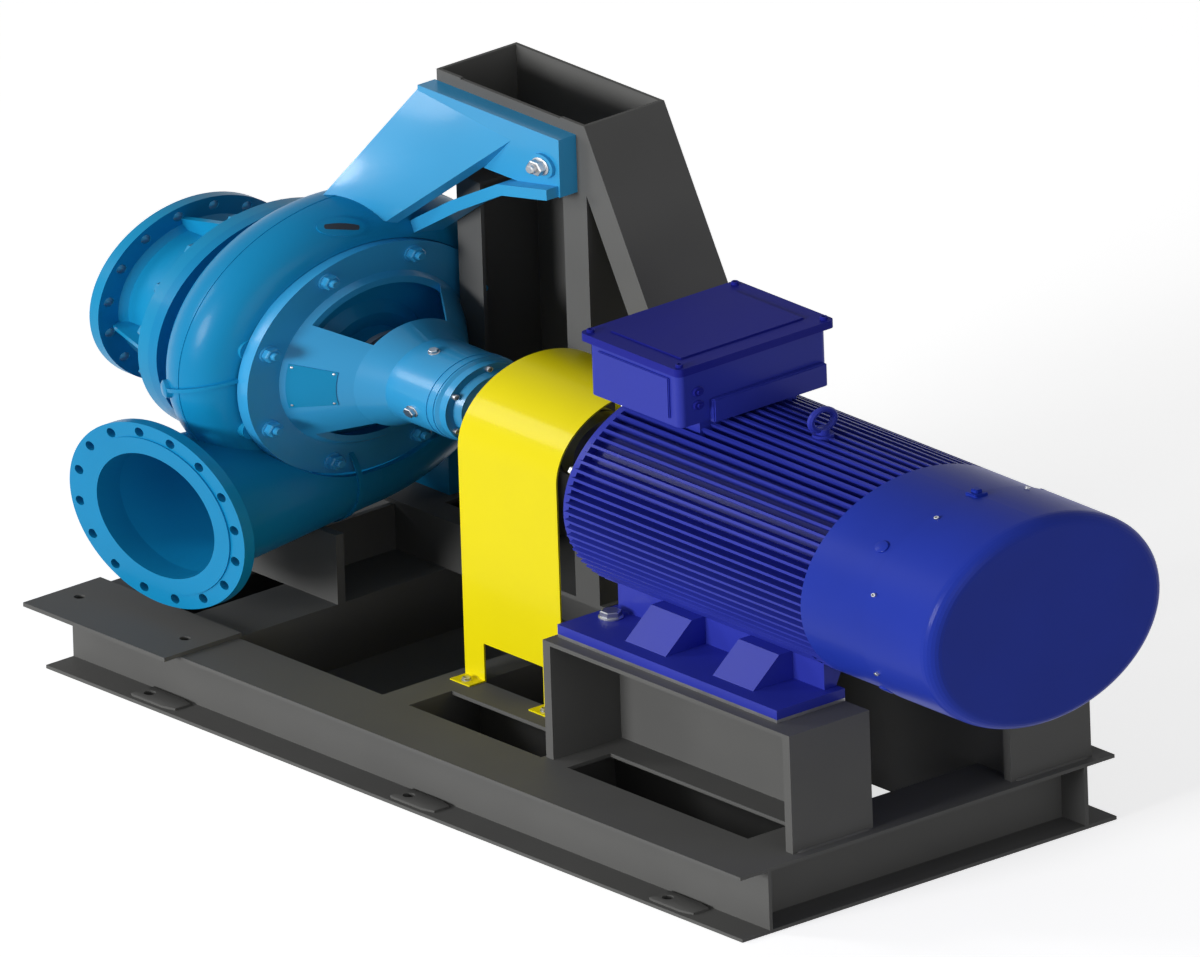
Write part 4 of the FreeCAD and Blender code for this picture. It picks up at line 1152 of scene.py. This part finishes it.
@dataclass
class Motor:
    """The finned motor with its shields, cowl and terminal box."""

    shop: Workshop
    line: ShaftLine
    foot_top: float = 0.583
    bolt_x: Pair = (0.330, 0.787)
    bolt_reach: float = 0.254
    bolt_size: float = 0.024
    shield_bolts: BoltRing = BoltRing(Head.HEX, 0.014, 8, 0.2255, 0.262, Facing.PUMP)
    cowl_x: float = 1.140
    cowl_radius: float = 0.305
    cowl_screws: BoltRing = BoltRing(Head.SOCKET, 0.007, 8, cowl_x + 0.020, cowl_radius - 0.0005)
    ring_boss_back: float = 0.035
    ring_boss_place: float = 0.299
    ring_boss_count: int = 4
    clip_x: float = 1.145
    box_x: Pair = (0.215, 0.485)
    box_y: Pair = (-0.130, 0.250)
    box_z: Pair = (1.180, 1.340)
    lid_top: float = 1.363
    lid_screw_size: float = 0.010
    lid_screw_out: float = 0.003
    crown_margin: float = 0.030
    crown_rise: float = 0.004
    blank_y: float = -0.085
    blank_heights: Pair = (1.235, 1.275)
    sunk: float = 0.001

    def dress(self) -> None:
        """Paint the motor and add its fasteners, box panels and closed entries."""
        body = ["motor_frame", "motor_feet", "motor_shield_drive", "motor_lifting_eye", "terminal_box"]
        self.shop.paint_nodes("blue_motor_paint", body)
        self.shop.paint_nodes("blue_cowl_paint", ["motor_shield_fan", "motor_fan_cowl"])
        # The lid, its screws and crown, and the entry blanks take the darker copy of the motor blue: painted
        # shade.
        self.shop.paint_nodes("shaded_blue_lid_paint", ["terminal_box_lid"])
        self.shop.piece("motor_foot_bolts", self.foot_bolts, "plated_bolt_steel", "bright_steel")
        bolts, screws = self.shield_bolts.about(self.line), self.cowl_screws.about(self.line)
        self.shop.piece("drive_shield_bolts", bolts, "plated_bolt_steel", "bright_steel")
        self.shop.piece("fan_ring_bolts", self.ring_bolts, "blue_cowl_paint", "motor_blue")
        self.shop.piece("cowl_screws", screws, "plated_bolt_steel", "bright_steel")
        self.shop.piece("cowl_top_lug", self.top_lug, "blue_cowl_paint", "motor_blue")
        self.shop.piece("lid_screws", self.lid_screws, "shaded_blue_lid_paint", "motor_blue")
        self.shop.piece("lid_crown", self.lid_crown, "shaded_blue_lid_paint", "motor_blue")
        self.shop.piece("box_panels", self.box_panels, "blue_motor_paint", "motor_blue")
        self.shop.piece("entry_blanks", self.blanks, "shaded_blue_lid_paint", "motor_blue")

    def foot_bolts(self, mesh: Mesh) -> None:
        """Bolts through the four feet.

        Args:
            mesh: the mesh to fill.
        """
        for x in self.bolt_x:
            for side in (-1, 1):
                point = Vector((x, self.line.y + side * self.bolt_reach, self.foot_top))
                Forms.fastener(mesh, Head.HEX, self.bolt_size, point, Facing.UP.value)

    def ring_bolts(self, mesh: Mesh) -> None:
        """Low bosses with screws round the smooth ring, near the cowl.

        Args:
            mesh: the mesh to fill.
        """
        profile = [(0.017, 0.0), (0.016, 0.005), (0.014, 0.006), (0.0, 0.006)]
        for degrees in evenly(self.ring_boss_count):
            seat = self.line.around(self.cowl_x - self.ring_boss_back, self.ring_boss_place, degrees)
            where = Forms.stand(seat, self.line.outward(degrees))
            Forms.lathe(mesh, profile, where, 24)

    def top_lug(self, mesh: Mesh) -> None:
        """The small clip on top of the cowl.

        Args:
            mesh: the mesh to fill.
        """
        x, y, top = self.clip_x, self.line.y, self.line.z + self.cowl_radius
        Forms.slab(mesh, (x - 0.017, y - 0.016, top - 0.006), (x + 0.017, y + 0.016, top + 0.006), 0.002)
        Forms.slab(mesh, (x - 0.009, y - 0.008, top + 0.005), (x + 0.009, y + 0.008, top + 0.016), 0.002)

    def lid_screws(self, mesh: Mesh) -> None:
        """Screws in the lid's corners.

        Args:
            mesh: the mesh to fill.
        """
        out = self.lid_screw_out
        for x in (self.box_x[0] + out, self.box_x[1] - out):
            for y in (self.box_y[0] + out, self.box_y[1] - out):
                place = Vector((x, y, self.lid_top))
                Forms.fastener(mesh, Head.SOCKET, self.lid_screw_size, place, Facing.UP.value)

    def lid_crown(self, mesh: Mesh) -> None:
        """The lid's low raised middle.

        Args:
            mesh: the mesh to fill.
        """
        margin = self.crown_margin
        low = (self.box_x[0] + margin, self.box_y[0] + margin, self.lid_top - self.sunk)
        high = (self.box_x[1] - margin, self.box_y[1] - margin, self.lid_top + self.crown_rise)
        Forms.slab(mesh, low, high, 0.0018)

    def box_panels(self, mesh: Mesh) -> None:
        """Raised panels on the box's near and motor sides.

        Args:
            mesh: the mesh to fill.
        """
        x0, x1 = self.box_x
        y0, y1 = self.box_y
        z0, z1 = self.box_z
        Forms.slab(mesh, (x0 + 0.03, y0 - 0.005, z0 + 0.02), (x1 - 0.03, y0 + 0.002, z1 - 0.02), 0.002)
        Forms.slab(mesh, (x1 - 0.002, y0 + 0.075, z0 - 0.006), (x1 + 0.014, y1 - 0.012, z0 + 0.062), 0.003)

    def blanks(self, mesh: Mesh) -> None:
        """Two closed cable entries, one above the other, on the box's motor side.

        Args:
            mesh: the mesh to fill.
        """
        disc = [(0.0, 0.0), (0.014, 0.0), (0.014, 0.004), (0.012, 0.006), (0.0, 0.006)]
        hexagon = [(0.0, 0.005), (0.007, 0.005), (0.007, 0.009), (0.006, 0.010), (0.0, 0.010)]
        for height in self.blank_heights:
            where = Forms.stand((self.box_x[1] - self.sunk, self.blank_y, height), Facing.MOTOR.value)
            Forms.lathe(mesh, disc, where, 28)
            Forms.lathe(mesh, hexagon, where, 6)


@dataclass
class Studio:
    """The floor, the lights and the camera."""

    shop: Workshop
    middle: Point = (-0.219, 0.256, 0.607)
    right: Point = (0.6580, 0.7526, -0.0261)
    up: Point = (-0.3501, 0.3299, 0.8766)
    width: float = 3.137
    stretch: float = 1.34
    distance: float = 9.0
    sky: float = 0.18
    floor_radius: float = 14.0
    key: tuple[float, float, Point] = (2.25, 20.0, (-0.05, -0.95, 0.20))
    side: tuple[float, float, Point] = (0.5, 40.0, (0.98, -0.12, 0.14))
    box_power: float = 42.0
    box_size: Pair = (0.9, 1.6)
    box_way: Point = (-0.66, -0.62, 0.38)
    lit_point: Point = (0.2, 0.0, 0.7)
    sun_distance: float = 6.0
    box_distance: float = 5.0

    def set_up(self) -> None:
        """Make the floor, the light and the camera."""
        self.floor()
        self.world()
        self.lamps()
        self.camera()

    def floor(self) -> None:
        """A wide pale floor under the set."""
        mesh = bmesh.new()
        Forms.lathe(mesh, [(0.0, 0.0), (self.floor_radius, 0.0)], Matrix.Translation((0, 0, -0.0005)), 64)
        data = bpy.data.meshes.new("studio_floor")
        mesh.to_mesh(data)
        mesh.free()
        floor = bpy.data.objects.new("studio_floor", data)
        bpy.context.scene.collection.objects.link(floor)
        data.materials.append(self.shop.palette["studio_floor"])

    def world(self) -> None:
        """An even pale sky that is white where the camera sees it."""
        world = bpy.data.worlds.new("studio_world")
        bpy.context.scene.world = world
        world.use_nodes = True
        tree = world.node_tree
        rays = tree.nodes.new("ShaderNodeLightPath").outputs
        seen = rays["Is Camera Ray"]
        for ray in ("Is Transmission Ray", "Is Glossy Ray"):
            either = tree.nodes.new("ShaderNodeMath")
            either.operation = "MAXIMUM"
            tree.links.new(seen, either.inputs[0])
            tree.links.new(rays[ray], either.inputs[1])
            seen = either.outputs[0]
        level = tree.nodes.new("ShaderNodeMath")
        level.operation = "MULTIPLY_ADD"
        level.inputs[1].default_value = 1.0 - self.sky
        level.inputs[2].default_value = self.sky
        tree.links.new(seen, level.inputs[0])
        back = tree.nodes["Background"]
        back.inputs["Color"].default_value = (1, 1, 1, 1)
        tree.links.new(level.outputs[0], back.inputs["Strength"])

    def lamps(self) -> None:
        """A key lamp from the near side, a weak one from the motor end and a soft box from the pump end."""
        self.sun("key_lamp", *self.key)
        self.sun("side_lamp", *self.side)
        box = bpy.data.lights.new("soft_box", "AREA")
        box.shape = "RECTANGLE"
        box.size, box.size_y = self.box_size
        box.energy = self.box_power
        self.aim(box, Vector(self.box_way), self.box_distance)

    def sun(self, name: str, strength: float, spread: float, away: Point) -> None:
        """A soft far lamp.

        Args:
            name: the lamp's name.
            strength: its strength.
            spread: how wide it looks, in degrees.
            away: the direction to the lamp.
        """
        light = bpy.data.lights.new(name, "SUN")
        light.energy = strength
        light.angle = math.radians(spread)
        self.aim(light, Vector(away), self.sun_distance)

    def aim(self, light: bpy.types.Light, away: Vector, distance: float) -> None:
        """Put a lamp in a direction from the set, facing it.

        Args:
            light: the lamp's data.
            away: the direction to the lamp.
            distance: how far it stands.
        """
        lamp = bpy.data.objects.new(light.name, light)
        bpy.context.scene.collection.objects.link(lamp)
        lamp.location = Vector(self.lit_point) + away.normalized() * distance
        lamp.rotation_mode = "QUATERNION"
        lamp.rotation_quaternion = away.to_track_quat("Z", "Y")

    def camera(self) -> None:
        """A parallel camera, with its sideways axis leant so that widths show as in the photograph."""
        data = bpy.data.cameras.new("camera")
        data.type = "ORTHO"
        data.ortho_scale = self.width
        data.clip_start, data.clip_end = 0.05, 60.0
        camera = bpy.data.objects.new("camera", data)
        bpy.context.scene.collection.objects.link(camera)
        right, up = Vector(self.right).normalized(), Vector(self.up).normalized()
        back = right.cross(up).normalized()
        lean = math.acos(1 / self.stretch)
        leant = right * math.cos(lean) + back * math.sin(lean)
        axes = np.array([list(leant), list(up), list(back)]).T
        first, sizes, second = np.linalg.svd(axes)
        if np.linalg.det(first) < 0:
            first, second = -first, -second
        rig = bpy.data.objects.new("camera_rig", None)
        bpy.context.scene.collection.objects.link(rig)
        spot = Matrix.Translation(Vector(self.middle) + back * self.distance)
        turn = Matrix(first.tolist()).to_4x4()
        rig.matrix_world = spot @ turn @ Matrix.Diagonal((*sizes.tolist(), 1.0))
        camera.parent = rig
        camera.matrix_parent_inverse = Matrix.Identity(4)
        camera.matrix_basis = Matrix(second.tolist()).to_4x4()
        bpy.context.scene.camera = camera


def main() -> None:
    """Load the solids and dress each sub-assembly."""
    logging.basicConfig(level=logging.INFO, format="%(name)s: %(message)s")
    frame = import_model()
    scene = bpy.context.scene
    scene.view_settings.view_transform = "Standard"
    shop = Workshop(frame, Palette())
    line = ShaftLine()
    Baseframe(shop).dress()
    Volute(shop, line).dress()
    BearingLine(shop, line).dress()
    Coupling(shop, line).dress()
    Motor(shop, line).dress()
    Studio(shop).set_up()
    bpy.context.view_layer.update()


if __name__ == "__main__":
    main()
